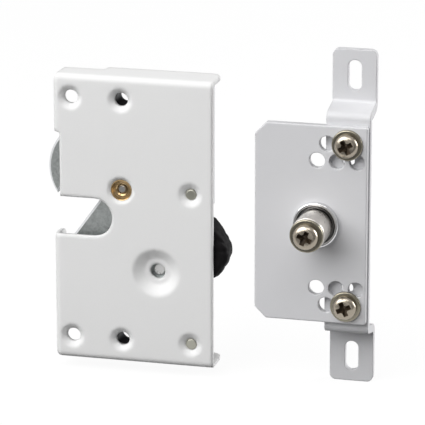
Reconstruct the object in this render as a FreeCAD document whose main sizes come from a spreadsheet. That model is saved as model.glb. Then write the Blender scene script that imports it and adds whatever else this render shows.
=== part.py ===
import FreeCAD, Part
import math
import os
import re

import Sketcher
from FreeCAD import Placement, Rotation, Vector

os.makedirs("parts", exist_ok=True)

# Electric bolt lock, millimetres, +Z up, front towards -Y.
# The origin is the centre of the back face of the case.
# The striker half stands beside the case, as it is shown, with its ears in the plane of the case's back.

SIZES = [
    # case
    ("caseWidth", 57.4, "case, left edge to right edge"),
    ("caseHeight", 103, "case height"),
    ("caseDepth", 14, "case, front face to back face"),
    ("sheetThick", 1.5, "thickness of both case sheets"),
    ("bendRadius", 2, "outer radius of the case's bends"),
    ("stepHigh", 3.5, "flanges at the mouth's side, short of full depth"),
    ("deepFrom", 16, "where the flanges step to full depth"),
    ("stepRadius", 1.5, "radii of that step"),
    ("rearCorner", 4, "rounded rear corners of flanges and side wall"),
    ("notchHeight", 13.7, "mouth for the striker pin"),
    ("notchLength", 21.1, "mouth, from the left edge"),
    ("notchLevel", 0.65, "middle of the mouth"),
    ("wallTop", 30.6, "lower end of the upper side wall"),
    ("edgeRecess", 2.27, "front face set back beside the fork"),
    ("recessRadius", 0.7, "radius at the top of that recess"),
    ("edgeSoft", 0.4, "softened outer edge all round the sheet"),
    # holes in the case
    ("holeInset", 6.35, "first hole column from the left edge"),
    ("holePitchAcross", 18.05, "second hole column from the first"),
    ("holeFromEnd", 8.2, "screw holes, from the case's upper and lower edge"),
    ("holeRadius", 2.45, "screw hole"),
    ("dimpleRadius", 4.3, "rim of the pressed dimple"),
    ("dimpleDepth", 1.4, "depth of the dimple's cone"),
    ("dimpleBack", 2.9, "back of the pressed dimple"),
    ("dimpleSoft", 0.6, "soft rim of the dimples"),
    ("seatRadius", 4.8, "rim of the seat of the bush"),
    ("wellRadius", 8.5, "rim of the large dimple"),
    ("wellFloor", 4.7, "floor radius of the large dimple"),
    ("wellDepth", 2.3, "depth of the large dimple"),
    ("wellSoft", 1.3, "soft rim of the large dimple"),
    ("wellHole", 2.7, "hole in the large dimple"),
    ("postInset", 8.05, "posts, from the right edge"),
    ("postRadius", 2.4, "body of the posts"),
    ("tenonFront", 1.9, "front tenon of the posts"),
    ("tenonRear", 1.75, "rear tenon of the posts"),
    ("spacerRadius", 4.8, "outer radius of the screw spacers"),
    ("counterRadius", 4, "counterbore of the screw spacers"),
    ("counterDepth", 3.6, "depth of that counterbore"),
    # rear plate
    ("rearInset", 16.3, "left edge of the rear plate"),
    ("rearShortUpper", 2.8, "rear plate short of the right edge, upper part"),
    ("rearShortLower", 4.2, "rear plate short of the right edge, lower part"),
    ("windowWide", 11.4, "window for the leads, from the right edge"),
    ("windowTop", 4, "top of that window"),
    ("windowBottom", -21, "bottom of that window"),
    ("rearMouthWider", 1.2, "mouth in the rear plate, wider all round"),
    ("rearFlange", 7.5, "depth of the rear plate's flanges"),
    ("nestGap", 0.1, "rear plate's flanges inside the shell's"),
    ("fitGap", 0.05, "gap of pieces fixed in their holes"),
    ("runGap", 0.2, "gap of pieces that move past others"),
    # fork
    ("forkLevel", 11.05, "pivot of the fork"),
    ("forkFront", 4.5, "front face of the fork"),
    ("forkThick", 3.5, "fork sheet"),
    ("forkEdge", 0.8, "chamfer round the fork's front face"),
    ("forkSwing", 36, "swing of the fork, degrees"),
    ("forkDisc", 17.2, "radius of the fork's outer curve"),
    ("discAcross", -11.79, "centre of that curve from the pivot"),
    ("discUp", -1.21, "centre of that curve from the pivot"),
    ("slotNear", -17.55, "outer side of the fork's slot"),
    ("slotFar", -4.25, "inner side of the fork's slot"),
    ("slotEnd", -3.45, "closed end of the fork's slot"),
    ("hubRadius", 9.5, "hub of the fork"),
    ("prongReach", 26.2, "far prong, pivot to tip"),
    ("prongWide", 8.25, "far prong at its tip"),
    ("lugReach", 13.5, "stop lug, pivot to tip"),
    ("lugFrom", 84.1, "first side of the stop lug, degrees"),
    ("lugTo", 110.1, "second side of the stop lug, degrees"),
    ("bushRadius", 3, "body of the bush"),
    ("bushFlare", 4, "flare of the bush"),
    ("bushSunk", 0.55, "lip of the bush behind the front face"),
    ("axleRadius", 1.45, "pin in the bush"),
    ("axleGap", 0.35, "wider mouth of the bush round the pin"),
    ("stopReach", 11.3, "stop stud from the pivot"),
    ("stopAngle", 40, "stop stud, degrees above the pivot"),
    ("stopRadius", 1.4, "stop stud"),
    ("stopTenon", 1.1, "its tenon in the rear plate"),
    ("coilRadius", 4.7, "mean radius of the fork's spring"),
    ("coilWire", 0.8, "wire of the fork's spring"),
    ("coilRoom", 0.89, "room beside the fork's spring, both sides"),
    # pawl
    ("pawlFromRight", 20.4, "pivot of the pawl from the right edge"),
    ("pawlLevel", -17.9, "pivot of the pawl"),
    ("pawlThick", 3, "pawl sheet"),
    ("pawlSwing", 11, "swing of the pawl, degrees"),
    ("pawlHub", 4.2, "hub of the pawl"),
    ("pawlAxle", 2.1, "axle of the pawl"),
    ("toothShort", 4.4, "catching face of the tooth, left of the fork's pivot"),
    ("toothUp", 5.3, "top of the tooth from the pivot"),
    ("toothWide", 4.5, "width of the tooth"),
    ("tailArm", 7.5, "tail pin from the pivot"),
    ("tailPin", 1.25, "tail pin radius"),
    # solenoid
    ("yokeBottom", 20, "bottom of the yoke"),
    ("yokeGap", 6, "top of the yoke, from the case's upper edge"),
    ("yokeWidth", 10, "width of the yoke"),
    ("yokeThick", 1.2, "yoke strip"),
    ("frontRoom", 0.7, "room in front of the bobbin"),
    ("rearRoom", 0.3, "room between the bobbin and the yoke"),
    ("flangeThick", 1, "bobbin flanges"),
    ("windingLow", 0.25, "winding below the edge of the flanges"),
    ("tubeRadius", 2.6, "bobbin tube"),
    ("plungerRadius", 2, "plunger and core"),
    ("coreLength", 8, "fixed core"),
    ("strokeGap", 0.3, "gap left between plunger and core"),
    ("plungerOut", 11.4, "lower end of the plunger, below the yoke when pulled in"),
    ("linkThick", 1.5, "link strip"),
    ("linkWidth", 3, "link in the plunger"),
    ("linkPin", 0.75, "pin of the link"),
    ("clipRadius", 3, "clip on the plunger"),
    ("clipOut", 4.6, "lower side of the clip, below the yoke"),
    ("clipThick", 0.6, "clip"),
    ("springRadius", 2.65, "mean radius of the plunger's spring"),
    ("springWire", 0.4, "wire of the plunger's spring"),
    ("springTurns", 3, "turns of the plunger's spring"),
    ("fixScrew", 1.25, "screws of the yoke"),
    ("fixHead", 2.3, "their countersunk heads"),
    ("fixPitch", 13, "distance between them"),
    # leads
    ("bootTop", 2.6, "top of the lead boot"),
    ("bootBottom", -19.9, "bottom of the lead boot"),
    ("bootInside", 9.2, "lead boot inside the case"),
    ("bootOut", 7.2, "lead boot outside the case"),
    ("bootSoft", 3.2, "soft edges of the lead boot"),
    ("leadRadius", 0.5, "lead wires"),
    ("leadColumn", 3.2, "lead wires from the right edge"),
    ("leadRise", 4, "lead wires where they leave the coil, above the yoke's bottom"),
    # striker
    ("strikerAcross", 104.8, "striker's screws from the case's left edge"),
    ("strikerLevel", 4.1, "middle of the striker"),
    ("plateFront", -0.3, "front face of the striker plate"),
    ("plateThick", 2.5, "striker plate"),
    ("plateLeft", 32.4, "striker plate left of its screws"),
    ("plateRight", 6.95, "striker plate right of its screws"),
    ("plateHeight", 70, "striker plate height"),
    ("plateCorner", 4, "cut corners of the striker plate"),
    ("plateSoft", 0.35, "softened front edges of the striker plate"),
    ("screwFromEnd", 6.3, "adjusting screws, from the ends of the plate"),
    ("gridPitch", 7, "pitch of the adjusting holes"),
    ("gridRadius", 2.75, "adjusting holes"),
    ("stripThick", 2.5, "strip of the striker base"),
    ("stripLeft", 8, "striker base left of its screws"),
    ("stripRight", 7.4, "striker base right of its screws"),
    ("stripBeyond", 4, "middle part of the base, beyond the plate"),
    ("stripLean", 2, "lean of the base's webs"),
    ("earReach", 59.4, "ears, middle to end"),
    ("earSoft", 2.2, "rounded corners of the ears"),
    ("slotStart", 3.9, "slots in the ears, from the webs"),
    ("slotToEnd", 3.7, "slots in the ears, from the ears' ends"),
    ("slotAcross", -0.2, "slots in the ears, sideways"),
    ("slotWidth", 4.8, "slots in the ears"),
    ("screwRadius", 2.45, "adjusting screws"),
    ("tapRadius", 2.1, "threaded holes for them, inside the thread"),
    ("screwHead", 4.15, "their heads"),
    ("screwDome", 2.9, "height of their heads"),
    ("collarRadius", 5.4, "washers under the heads"),
    ("collarThick", 1, "those washers"),
    # pin
    ("pinAcross", -10.6, "striker pin from the screws"),
    ("pinFlange", 8, "flange of the pin"),
    ("flangeHigh", 2, "height of that flange"),
    ("pinRoller", 6, "roller of the pin"),
    ("rollerLength", 11.9, "roller of the pin"),
    ("pinShaft", 3.2, "stud in the roller"),
    ("pinCollar", 5.85, "washer at the end of the pin"),
    ("pinCollarThick", 1.1, "that washer"),
    ("pinHead", 4.65, "screw at the end of the pin"),
    ("pinDome", 3.1, "height of its head"),
    ("pinThread", 1.9, "thread of that screw"),
]

doc = FreeCAD.newDocument("electric_bolt_lock")
sheet = doc.addObject("Spreadsheet::Sheet", "dimensions")
for row, (name, size, note) in enumerate(SIZES, start=1):
    sheet.set(f"A{row}", note)
    sheet.set(f"B{row}", str(size))
    sheet.setAlias(f"B{row}", name)
doc.recompute()

ALIAS = re.compile(r"\b(" + "|".join(name for name, size, note in SIZES) + r")\b")


def value(expression):
    """The number that an expression of sheet sizes stands for."""
    found = sheet.evalExpression(str(expression))
    return float(getattr(found, "Value", found))


def bind(thing, place, expression):
    """Ties one property of an object to the sheet."""
    text = str(expression)
    if ALIAS.search(text):
        thing.setExpression(place, ALIAS.sub(r"dimensions.\1", text))


# Helpers for bodies, outlines and features

parts = []


def piece(label, across="0", depth="0", level="0", turn=None):
    """A body whose own frame has X across, Y into the case and Z up."""
    body = doc.addObject("PartDesign::Body", label)
    body.Label = label
    body.AllowCompound = True
    rotation = Rotation()
    if turn:
        rotation = Rotation(Vector(0, 1, 0), value(turn))
    x = f"-caseWidth / 2 + {across}"
    y = f"-caseDepth + {depth}"
    body.Placement = Placement(Vector(value(x), value(y), value(level)), rotation)
    bind(body, "Placement.Base.x", x)
    bind(body, "Placement.Base.y", y)
    bind(body, "Placement.Base.z", level)
    if turn:
        bind(body, "Placement.Rotation.Angle", turn)
    parts.append(body)
    return body


def blank_sketch(body, name, plane, across="0", up="0", out="0"):
    """An empty sketch on one of the body's own origin planes."""
    sketch = body.newObject("Sketcher::SketchObject", name)
    support = [f for f in body.Origin.OriginFeatures if f.Role == plane][0]
    sketch.AttachmentSupport = (support, [""])
    sketch.MapMode = "FlatFace"
    shift = Vector(value(across), value(up), value(out))
    sketch.AttachmentOffset = Placement(shift, Rotation())
    bind(sketch, "AttachmentOffset.Base.x", across)
    bind(sketch, "AttachmentOffset.Base.y", up)
    bind(sketch, "AttachmentOffset.Base.z", out)
    return sketch


def place_point(sketch, item, end, x, y):
    """Holds one point of a sketch at two sizes from its origin."""
    for kind, size in (("DistanceX", x), ("DistanceY", y)):
        index = sketch.addConstraint(
            Sketcher.Constraint(kind, -1, 1, item, end, value(size)))
        bind(sketch, f"Constraints[{index}]", size)


def outline(sketch, corners):
    """A closed outline through corners (across, up) or (across, up, radius)."""
    points = [Vector(value(c[0]), value(c[1]), 0) for c in corners]
    count = len(points)
    ends = []
    for i, corner in enumerate(corners):
        here, before, after = points[i], points[i - 1], points[(i + 1) % count]
        if len(corner) == 2:
            ends.append((here, here, None))
            continue
        radius = value(corner[2])
        back = (before - here).normalize()
        on = (after - here).normalize()
        half = back.getAngle(on) / 2
        reach = radius / math.tan(half)
        middle = here + (back + on).normalize() * (radius / math.sin(half))
        left = back.cross(on).z < 0
        ends.append((here + back * reach, here + on * reach, (middle, radius, left)))
    lines = []
    for i in range(count):
        start, stop = ends[i][1], ends[(i + 1) % count][0]
        lines.append(sketch.addGeometry(Part.LineSegment(start, stop), False))
    for i, corner in enumerate(corners):
        before, after = lines[i - 1], lines[i]
        if len(corner) == 2:
            sketch.addConstraint(Sketcher.Constraint("Coincident", before, 2, after, 1))
            place_point(sketch, after, 1, corner[0], corner[1])
            continue
        middle, radius, left = ends[i][2]
        first, last = ends[i][0], ends[i][1]
        if not left:
            first, last = last, first
        turn_from = math.atan2(first.y - middle.y, first.x - middle.x)
        turn_to = math.atan2(last.y - middle.y, last.x - middle.x)
        if turn_to < turn_from:
            turn_to += 2 * math.pi
        circle = Part.Circle(middle, Vector(0, 0, 1), radius)
        arc = sketch.addGeometry(Part.ArcOfCircle(circle, turn_from, turn_to), False)
        point = sketch.addGeometry(Part.Point(points[i]), True)
        entry, leave = (1, 2) if left else (2, 1)
        sketch.addConstraint(Sketcher.Constraint("Tangent", before, 2, arc, entry))
        sketch.addConstraint(Sketcher.Constraint("Tangent", arc, leave, after, 1))
        index = sketch.addConstraint(Sketcher.Constraint("Radius", arc, radius))
        bind(sketch, f"Constraints[{index}]", corner[2])
        sketch.addConstraint(Sketcher.Constraint("PointOnObject", point, 1, before))
        sketch.addConstraint(Sketcher.Constraint("PointOnObject", point, 1, after))
        place_point(sketch, point, 1, corner[0], corner[1])


def circles(sketch, discs):
    """Circles (across, up, radius)."""
    for x, y, radius in discs:
        circle = Part.Circle(Vector(value(x), value(y), 0), Vector(0, 0, 1), value(radius))
        item = sketch.addGeometry(circle, False)
        place_point(sketch, item, 3, x, y)
        index = sketch.addConstraint(Sketcher.Constraint("Radius", item, value(radius)))
        bind(sketch, f"Constraints[{index}]", radius)


def draw(sketch, shapes):
    """Draws outlines (lists of corners) and circles (tuples)."""
    for shape in shapes:
        if isinstance(shape, tuple):
            circles(sketch, [shape])
        else:
            outline(sketch, shape)


def grow(body, name, shapes, start, thick, plane="XZ_Plane"):
    """Pads outlines; from the XZ plane it grows into the case."""
    backward = plane == "XZ_Plane"
    out = f"-({start})" if backward else start
    sketch = blank_sketch(body, name + "_outline", plane, out=out)
    draw(sketch, shapes)
    pad = body.newObject("PartDesign::Pad", name)
    pad.Profile = sketch
    pad.Length = value(thick)
    bind(pad, "Length", thick)
    pad.Reversed = backward
    doc.recompute()
    return pad


def cut(body, name, shapes, start, deep, plane="XZ_Plane"):
    """Pockets outlines from start on, into the case, or along +X or +Z."""
    before = body.Shape.Volume
    backward = plane == "XZ_Plane"
    out = f"-({start})" if backward else start
    sketch = blank_sketch(body, name + "_outline", plane, out=out)
    draw(sketch, shapes)
    pocket = body.newObject("PartDesign::Pocket", name)
    pocket.Profile = sketch
    pocket.Length = value(deep)
    bind(pocket, "Length", deep)
    pocket.Reversed = not backward
    doc.recompute()
    if body.Shape.Volume > before - 0.001:
        raise RuntimeError(name + " cuts nothing")
    return pocket


def turned(body, name, profile, across="0", level="0", remove=False, upright=False):
    """Turns a half profile (radius, length) about Y, or about Z when upright."""
    before = body.Shape.Volume if remove else 0
    if upright:
        sketch = blank_sketch(body, name + "_profile", "XZ_Plane", across=across, up=level)
    else:
        sketch = blank_sketch(body, name + "_profile", "XY_Plane", across=across, out=level)
    outline(sketch, profile)
    kind = "PartDesign::Groove" if remove else "PartDesign::Revolution"
    feature = body.newObject(kind, name)
    feature.Profile = sketch
    feature.ReferenceAxis = (sketch, ["V_Axis"])
    feature.Angle = 360
    doc.recompute()
    if remove and body.Shape.Volume > before - 0.001:
        raise RuntimeError(name + " cuts nothing")
    return feature


def soften(body, name, radius, chooser, kind="PartDesign::Fillet"):
    """Rounds the edges that the chooser picks by their middle and size."""
    tip = body.Tip
    names = []
    for number, edge in enumerate(tip.Shape.Edges, start=1):
        if chooser(edge.BoundBox.Center, edge.BoundBox, edge):
            names.append(f"Edge{number}")
    if not names:
        raise RuntimeError(name + " found no edges")
    feature = body.newObject(kind, name)
    feature.Base = (tip, names)
    place = "Radius" if kind == "PartDesign::Fillet" else "Size"
    setattr(feature, place, value(radius))
    bind(feature, place, radius)
    doc.recompute()
    return feature


def near(a, b):
    return abs(a - b) < 0.02


def loose(label, shape, across="0", depth="0", level="0"):
    """A piece whose shape is made from a path, placed like the others."""
    feature = doc.addObject("Part::Feature", label)
    feature.Label = label
    feature.Shape = shape
    x = f"-caseWidth / 2 + {across}"
    y = f"-caseDepth + {depth}"
    feature.Placement = Placement(Vector(value(x), value(y), value(level)), Rotation())
    bind(feature, "Placement.Base.x", x)
    bind(feature, "Placement.Base.y", y)
    bind(feature, "Placement.Base.z", level)
    parts.append(feature)
    return feature


def arc_between(start, heading, stop):
    """The arc from a point and its heading to a second point."""
    chord = stop - start
    along = Vector(chord).normalize()
    side = heading - along * heading.dot(along)
    if side.Length < 1e-7:
        return Part.LineSegment(start, stop).toShape()
    angle = math.acos(max(-1, min(1, heading.dot(along))))
    rise = chord.Length / 2 * math.tan(angle / 2)
    return Part.Arc(start, start + chord / 2 + side.normalize() * rise, stop).toShape()


def wound(points, headings):
    """Pairs of tangent arcs through points with given headings."""
    edges = []
    for i in range(len(points) - 1):
        a, b, ta, tb = points[i], points[i + 1], headings[i], headings[i + 1]
        span, both = b - a, ta + tb
        bend = 2 * (1 - ta.dot(tb))
        if bend < 1e-9:
            edges.append(Part.LineSegment(a, b).toShape())
            continue
        lean = span.dot(both)
        size = (-lean + math.sqrt(lean * lean + bend * span.dot(span))) / bend
        joint = (a + b + (ta - tb) * size) / 2
        middle = (joint - (a + ta * size)).normalize()
        edges.append(arc_between(a, ta, joint))
        edges.append(arc_between(joint, middle, b))
    return edges


def tube(edges, radius):
    """A round bar along a wire of arcs and straight runs."""
    wire = Part.Wire(edges)
    start = wire.OrderedEdges[0]
    first = start.valueAt(start.FirstParameter)
    heading = start.tangentAt(start.FirstParameter)
    ring = Part.Wire(Part.Circle(first, heading, radius).toShape())
    solid = wire.makePipeShell([ring], True, False)
    expected = math.pi * radius * radius * wire.Length
    if abs(solid.Volume - expected) > 0.02 * expected:
        raise RuntimeError("a wire's volume is wrong")
    return Part.Solid(solid.Shells[0]) if solid.ShapeType != "Solid" else solid


def least_gap(edges, wire_radius, apart):
    """Least gap of a wound wire to itself, measured on points."""
    wire = Part.Wire(edges)
    points = wire.discretize(Distance=0.15)
    step = wire.Length / (len(points) - 1)
    skip = int(apart / step)
    least = 1e9
    for i in range(0, len(points), 2):
        for j in range(i + skip, len(points), 2):
            least = min(least, points[i].distanceToPoint(points[j]))
    return least - 2 * wire_radius


# Front shell: a pressed and bent sheet with its mouth, dimples and stepped flanges

shell = piece("front_shell")
grow(shell, "shell_block", [[("0", "-caseHeight / 2"), ("caseWidth", "-caseHeight / 2"),
                             ("caseWidth", "caseHeight / 2"), ("0", "caseHeight / 2")]],
     "0", "caseDepth")
half = value("caseHeight / 2")
thick = value("sheetThick")
soften(shell, "outer_bends", "bendRadius",
       lambda c, b, e: (near(b.YMax, 0) and near(abs(c.z), half)) or (near(b.YMax, 0) and near(b.XMax, 0))
       or (near(b.XMax, 0) and near(abs(c.z), half)))
grow_inside = [[("sheetThick", "-(caseHeight / 2 - sheetThick)"),
                ("caseWidth + 5", "-(caseHeight / 2 - sheetThick)"),
                ("caseWidth + 5", "caseHeight / 2 - sheetThick"),
                ("sheetThick", "caseHeight / 2 - sheetThick")]]
cut(shell, "shell_inside", grow_inside, "sheetThick", "caseDepth")
inner = value("caseHeight / 2 - sheetThick")
soften(shell, "inner_bends", "bendRadius - sheetThick",
       lambda c, b, e: (near(b.YMin, thick) and near(b.YMax, thick) and near(abs(c.z), inner))
       or (near(b.YMax, thick) and near(b.XMax, thick) and b.ZLength > 10)
       or (near(b.XMin, thick) and near(b.XMax, thick) and near(abs(c.z), inner)))
SHALLOW = "(caseDepth - stepHigh)"
cut(shell, "flange_steps",
    [[("-5", SHALLOW), ("deepFrom", SHALLOW, "stepRadius"),
      ("deepFrom", "caseDepth", "stepRadius"), ("caseWidth", "caseDepth", "rearCorner"),
      ("caseWidth", "caseDepth / 3"), ("caseWidth + 5", "caseDepth / 3"),
      ("caseWidth + 5", "caseDepth + 5"), ("-5", "caseDepth + 5")]],
    "-caseHeight", "2 * caseHeight", plane="XY_Plane")
MOUTH_LOW = "(notchLevel - notchHeight / 2)"
MOUTH_HIGH = "(notchLevel + notchHeight / 2)"
cut(shell, "mouth_and_recess",
    [[("-5", MOUTH_LOW), ("notchLength", MOUTH_LOW, "notchHeight * 0.49"),
      ("notchLength", MOUTH_HIGH, "notchHeight * 0.49"), ("edgeRecess", MOUTH_HIGH),
      ("edgeRecess", "wallTop", "recessRadius"), ("-5", "wallTop")]],
    "-1", "caseDepth + 3")
wall_end = value("wallTop")
mouth_low = value(MOUTH_LOW)
mouth_high = value(MOUTH_HIGH)
shallow = value(SHALLOW)
soften(shell, "wall_corners", "rearCorner",
       lambda c, b, e: near(b.YMin, shallow) and near(b.YMax, shallow) and b.XMax < thick + 0.1
       and b.XLength > thick / 2 and b.ZLength < 0.1
       and (near(c.z, wall_end) or near(c.z, mouth_low)))
wide = value("caseWidth")
soften(shell, "outer_edges", "edgeSoft",
       lambda c, b, e: near(b.XMin, wide) and near(b.YMax, 0) and b.ZLength > 50)

POST_ACROSS = "(caseWidth - postInset)"
PAWL_ACROSS = "(caseWidth - pawlFromRight)"
HOLE_UP = "(caseHeight / 2 - holeFromEnd)"
FUNNELS = [
    ("upper_left", "holeInset", HOLE_UP, "dimpleRadius", "holeRadius"),
    ("lower_left", "holeInset", f"-{HOLE_UP}", "dimpleRadius", "holeRadius"),
    ("upper_middle", "holeInset + holePitchAcross", HOLE_UP, "dimpleRadius", "holeRadius"),
    ("lower_middle", "holeInset + holePitchAcross", f"-{HOLE_UP}", "dimpleRadius", "holeRadius"),
    ("post_upper", POST_ACROSS, "forkLevel", "dimpleRadius", "tenonFront + fitGap"),
    ("post_lower", POST_ACROSS, f"-{HOLE_UP}", "dimpleRadius", "tenonFront + fitGap"),
    ("bush", "holeInset + holePitchAcross", "forkLevel", "seatRadius", "bushRadius + fitGap"),
]
for name, across, level, rim, bore in FUNNELS:
    turned(shell, name + "_boss",
           [("0", "sheetThick / 2"), (f"{rim} + 1", "sheetThick / 2"), (f"{rim} + 1", "sheetThick"),
            (f"{bore} + 1.15", "dimpleBack"), ("0", "dimpleBack")], across, level)
    turned(shell, name + "_funnel",
           [("0", "-1"), (rim, "-1"), (rim, "0"), (bore, "dimpleDepth"),
            (bore, "dimpleBack + 1"), ("0", "dimpleBack + 1")], across, level, remove=True)
turned(shell, "well_boss",
       [("0", "sheetThick / 2"), ("wellRadius + 0.7", "sheetThick / 2"),
        ("wellRadius + 0.7", "sheetThick"), ("wellFloor + 0.9", "wellDepth + sheetThick"),
        ("0", "wellDepth + sheetThick")], PAWL_ACROSS, "pawlLevel")
turned(shell, "well_hollow",
       [("0", "-1"), ("wellRadius", "-1"), ("wellRadius", "0"), ("wellFloor", "wellDepth", "0.8"),
        ("wellHole", "wellDepth"), ("wellHole", "wellDepth + sheetThick + 1"),
        ("0", "wellDepth + sheetThick + 1")], PAWL_ACROSS, "pawlLevel", remove=True)
rims = [value("dimpleRadius"), value("seatRadius")]
well = value("wellRadius")


def is_ring(edge, box, radii):
    """A full circle of one of the radii, facing along Y."""
    return edge.isClosed() and any(abs(box.XLength - 2 * r) + abs(box.ZLength - 2 * r) < 0.1 for r in radii)


soften(shell, "dimple_rims", "dimpleSoft", lambda c, b, e: near(b.YMax, 0) and is_ring(e, b, rims))
soften(shell, "well_rim", "wellSoft", lambda c, b, e: near(b.YMax, 0) and is_ring(e, b, [well]))

# Rear plate: a flat pressed plate with two flanges nested in the shell's

rear = piece("rear_plate")
REAR_RIGHT_UPPER = "(caseWidth - rearShortUpper)"
REAR_RIGHT_LOWER = "(caseWidth - rearShortLower)"
WINDOW_LEFT = "(caseWidth - windowWide)"
REAR_FACE = "caseDepth - sheetThick"
REAR_TOP = "(caseHeight / 2 - sheetThick - nestGap)"
grow(rear, "rear_sheet",
     [[("rearInset", f"-{REAR_TOP}"), (REAR_RIGHT_LOWER, f"-{REAR_TOP}"),
       (REAR_RIGHT_LOWER, "windowBottom", "1.5"), (WINDOW_LEFT, "windowBottom", "2"),
       (WINDOW_LEFT, "windowTop", "2"), (REAR_RIGHT_UPPER, "windowTop", "1.5"),
       (REAR_RIGHT_UPPER, REAR_TOP), ("rearInset", REAR_TOP),
       ("rearInset", f"{MOUTH_HIGH} + rearMouthWider"),
       ("notchLength + rearMouthWider", f"{MOUTH_HIGH} + rearMouthWider", "5"),
       ("notchLength + rearMouthWider", f"{MOUTH_LOW} - rearMouthWider", "5"),
       ("rearInset", f"{MOUTH_LOW} - rearMouthWider")]],
     REAR_FACE, "sheetThick")
for name, low, high, right in (
        ("upper_flange", f"{REAR_TOP} - sheetThick", REAR_TOP, f"{REAR_RIGHT_UPPER} - 1"),
        ("lower_flange", f"-{REAR_TOP}", f"-{REAR_TOP} + sheetThick", REAR_RIGHT_LOWER)):
    grow(rear, name, [[("rearInset + 2", low), (right, low), (right, high), ("rearInset + 2", high)]],
         "caseDepth - rearFlange", "rearFlange - sheetThick / 2")
rear_top = value(REAR_TOP)
deep = value("caseDepth")
soften(rear, "rear_bends", "bendRadius - nestGap",
       lambda c, b, e: near(b.YMin, deep) and near(abs(c.z), rear_top) and b.ZLength < 0.1 and b.XLength > 10)
FORK_ACROSS = "holeInset + holePitchAcross"
SOLENOID_ACROSS = f"({PAWL_ACROSS} + tailArm * cos(pawlSwing / 2))"
YOKE_TOP = "(caseHeight / 2 - yokeGap)"
FIX_MIDDLE = f"((yokeBottom + {YOKE_TOP}) / 2)"
STOP_ACROSS = "(holeInset + holePitchAcross + stopReach * cos(stopAngle))"
STOP_LEVEL = "(forkLevel + stopReach * sin(stopAngle))"
cut(rear, "rear_holes",
    [(FORK_ACROSS, HOLE_UP, "spacerRadius + fitGap"),
     (FORK_ACROSS, f"-{HOLE_UP}", "spacerRadius + fitGap"),
     (FORK_ACROSS, "forkLevel", "bushRadius + fitGap"),
     (POST_ACROSS, "forkLevel", "tenonRear + fitGap"),
     (POST_ACROSS, f"-{HOLE_UP}", "tenonRear + fitGap"),
     (PAWL_ACROSS, "pawlLevel", "pawlAxle + fitGap"),
     (STOP_ACROSS, STOP_LEVEL, "stopTenon + fitGap"),
     (SOLENOID_ACROSS, f"{FIX_MIDDLE} + fixPitch / 2", "fixScrew + fitGap"),
     (SOLENOID_ACROSS, f"{FIX_MIDDLE} - fixPitch / 2", "fixScrew + fitGap")],
    "caseDepth - sheetThick - 1", "sheetThick + 2")
SINK_END = "(caseDepth - (fixHead - fixScrew) - fitGap)"
for name, sign in (("upper_sink", "+"), ("lower_sink", "-")):
    turned(rear, name,
           [("0", "caseDepth + 1"), ("fixHead + 2 * fitGap", "caseDepth + 1"),
            ("fixHead + 2 * fitGap", "caseDepth"), ("fixScrew + fitGap", SINK_END), ("0", SINK_END)],
           SOLENOID_ACROSS, f"{FIX_MIDDLE} {sign} fixPitch / 2", remove=True)

# Fixed pieces between the two sheets

posts = piece("shell_posts")
for name, level in (("upper_post", "forkLevel"), ("lower_post", f"-{HOLE_UP}")):
    turned(posts, name,
           [("0", "dimpleDepth - 0.4"), ("tenonFront", "dimpleDepth - 0.4", "0.3"),
            ("tenonFront", "dimpleBack + fitGap"), ("postRadius", "dimpleBack + fitGap"),
            ("postRadius", f"{REAR_FACE}"), ("tenonRear", f"{REAR_FACE}"),
            ("tenonRear", "caseDepth - 0.1"), ("0", "caseDepth - 0.1")], POST_ACROSS, level)

spacers = piece("screw_spacers")
for name, level in (("upper_spacer", HOLE_UP), ("lower_spacer", f"-{HOLE_UP}")):
    turned(spacers, name,
           [("holeRadius", "dimpleBack + fitGap"), ("spacerRadius", "dimpleBack + fitGap"),
            ("spacerRadius", "caseDepth"), ("counterRadius", "caseDepth"),
            ("counterRadius", "caseDepth - counterDepth"), ("holeRadius", "caseDepth - counterDepth")],
           FORK_ACROSS, level)

bush = piece("fork_bush", FORK_ACROSS, "0", "forkLevel")
turned(bush, "bush_barrel",
       [("axleRadius + fitGap", "dimpleBack"), ("axleRadius + axleGap", "dimpleBack"),
        ("axleRadius + axleGap", "dimpleDepth"), ("bushRadius - 0.6", "dimpleDepth"),
        ("bushFlare - 0.5", "bushSunk"), ("bushFlare", "bushSunk", "0.12"),
        ("bushRadius", "dimpleDepth - fitGap"), ("bushRadius", "caseDepth - 0.4"),
        ("axleRadius + fitGap", "caseDepth - 0.4")])

axle = piece("fork_axle", FORK_ACROSS, "0", "forkLevel")
turned(axle, "axle_pin",
       [("0", "dimpleDepth + 0.3"), ("axleRadius - 0.35", "dimpleDepth + 0.3"),
        ("axleRadius", "dimpleDepth + 0.65"), ("axleRadius", "caseDepth - 0.45"),
        ("axleRadius - 0.35", "caseDepth - 0.1"), ("0", "caseDepth - 0.1")])

ring = piece("fork_front_spacer", FORK_ACROSS, "0", "forkLevel")
turned(ring, "front_ring",
       [("bushRadius + fitGap", "dimpleBack + fitGap"), ("5", "dimpleBack + fitGap"),
        ("5", "forkFront - fitGap"), ("bushRadius + fitGap", "forkFront - fitGap")])

sleeve = piece("fork_rear_spacer", FORK_ACROSS, "0", "forkLevel")
FORK_BACK = "(forkFront + forkThick)"
turned(sleeve, "rear_sleeve",
       [("bushRadius + fitGap", f"{FORK_BACK} + fitGap"), ("4", f"{FORK_BACK} + fitGap"),
        ("4", f"{REAR_FACE} - fitGap"), ("bushRadius + fitGap", f"{REAR_FACE} - fitGap")])

stop = piece("fork_stop", STOP_ACROSS, "0", STOP_LEVEL)
turned(stop, "stop_stud",
       [("0", "forkFront"), ("stopRadius", "forkFront"), ("stopRadius", REAR_FACE),
        ("stopTenon", REAR_FACE), ("stopTenon", "caseDepth - 0.1"), ("0", "caseDepth - 0.1")])

# Fork, drawn in its locked position about its pivot and set back to the open one

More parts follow.
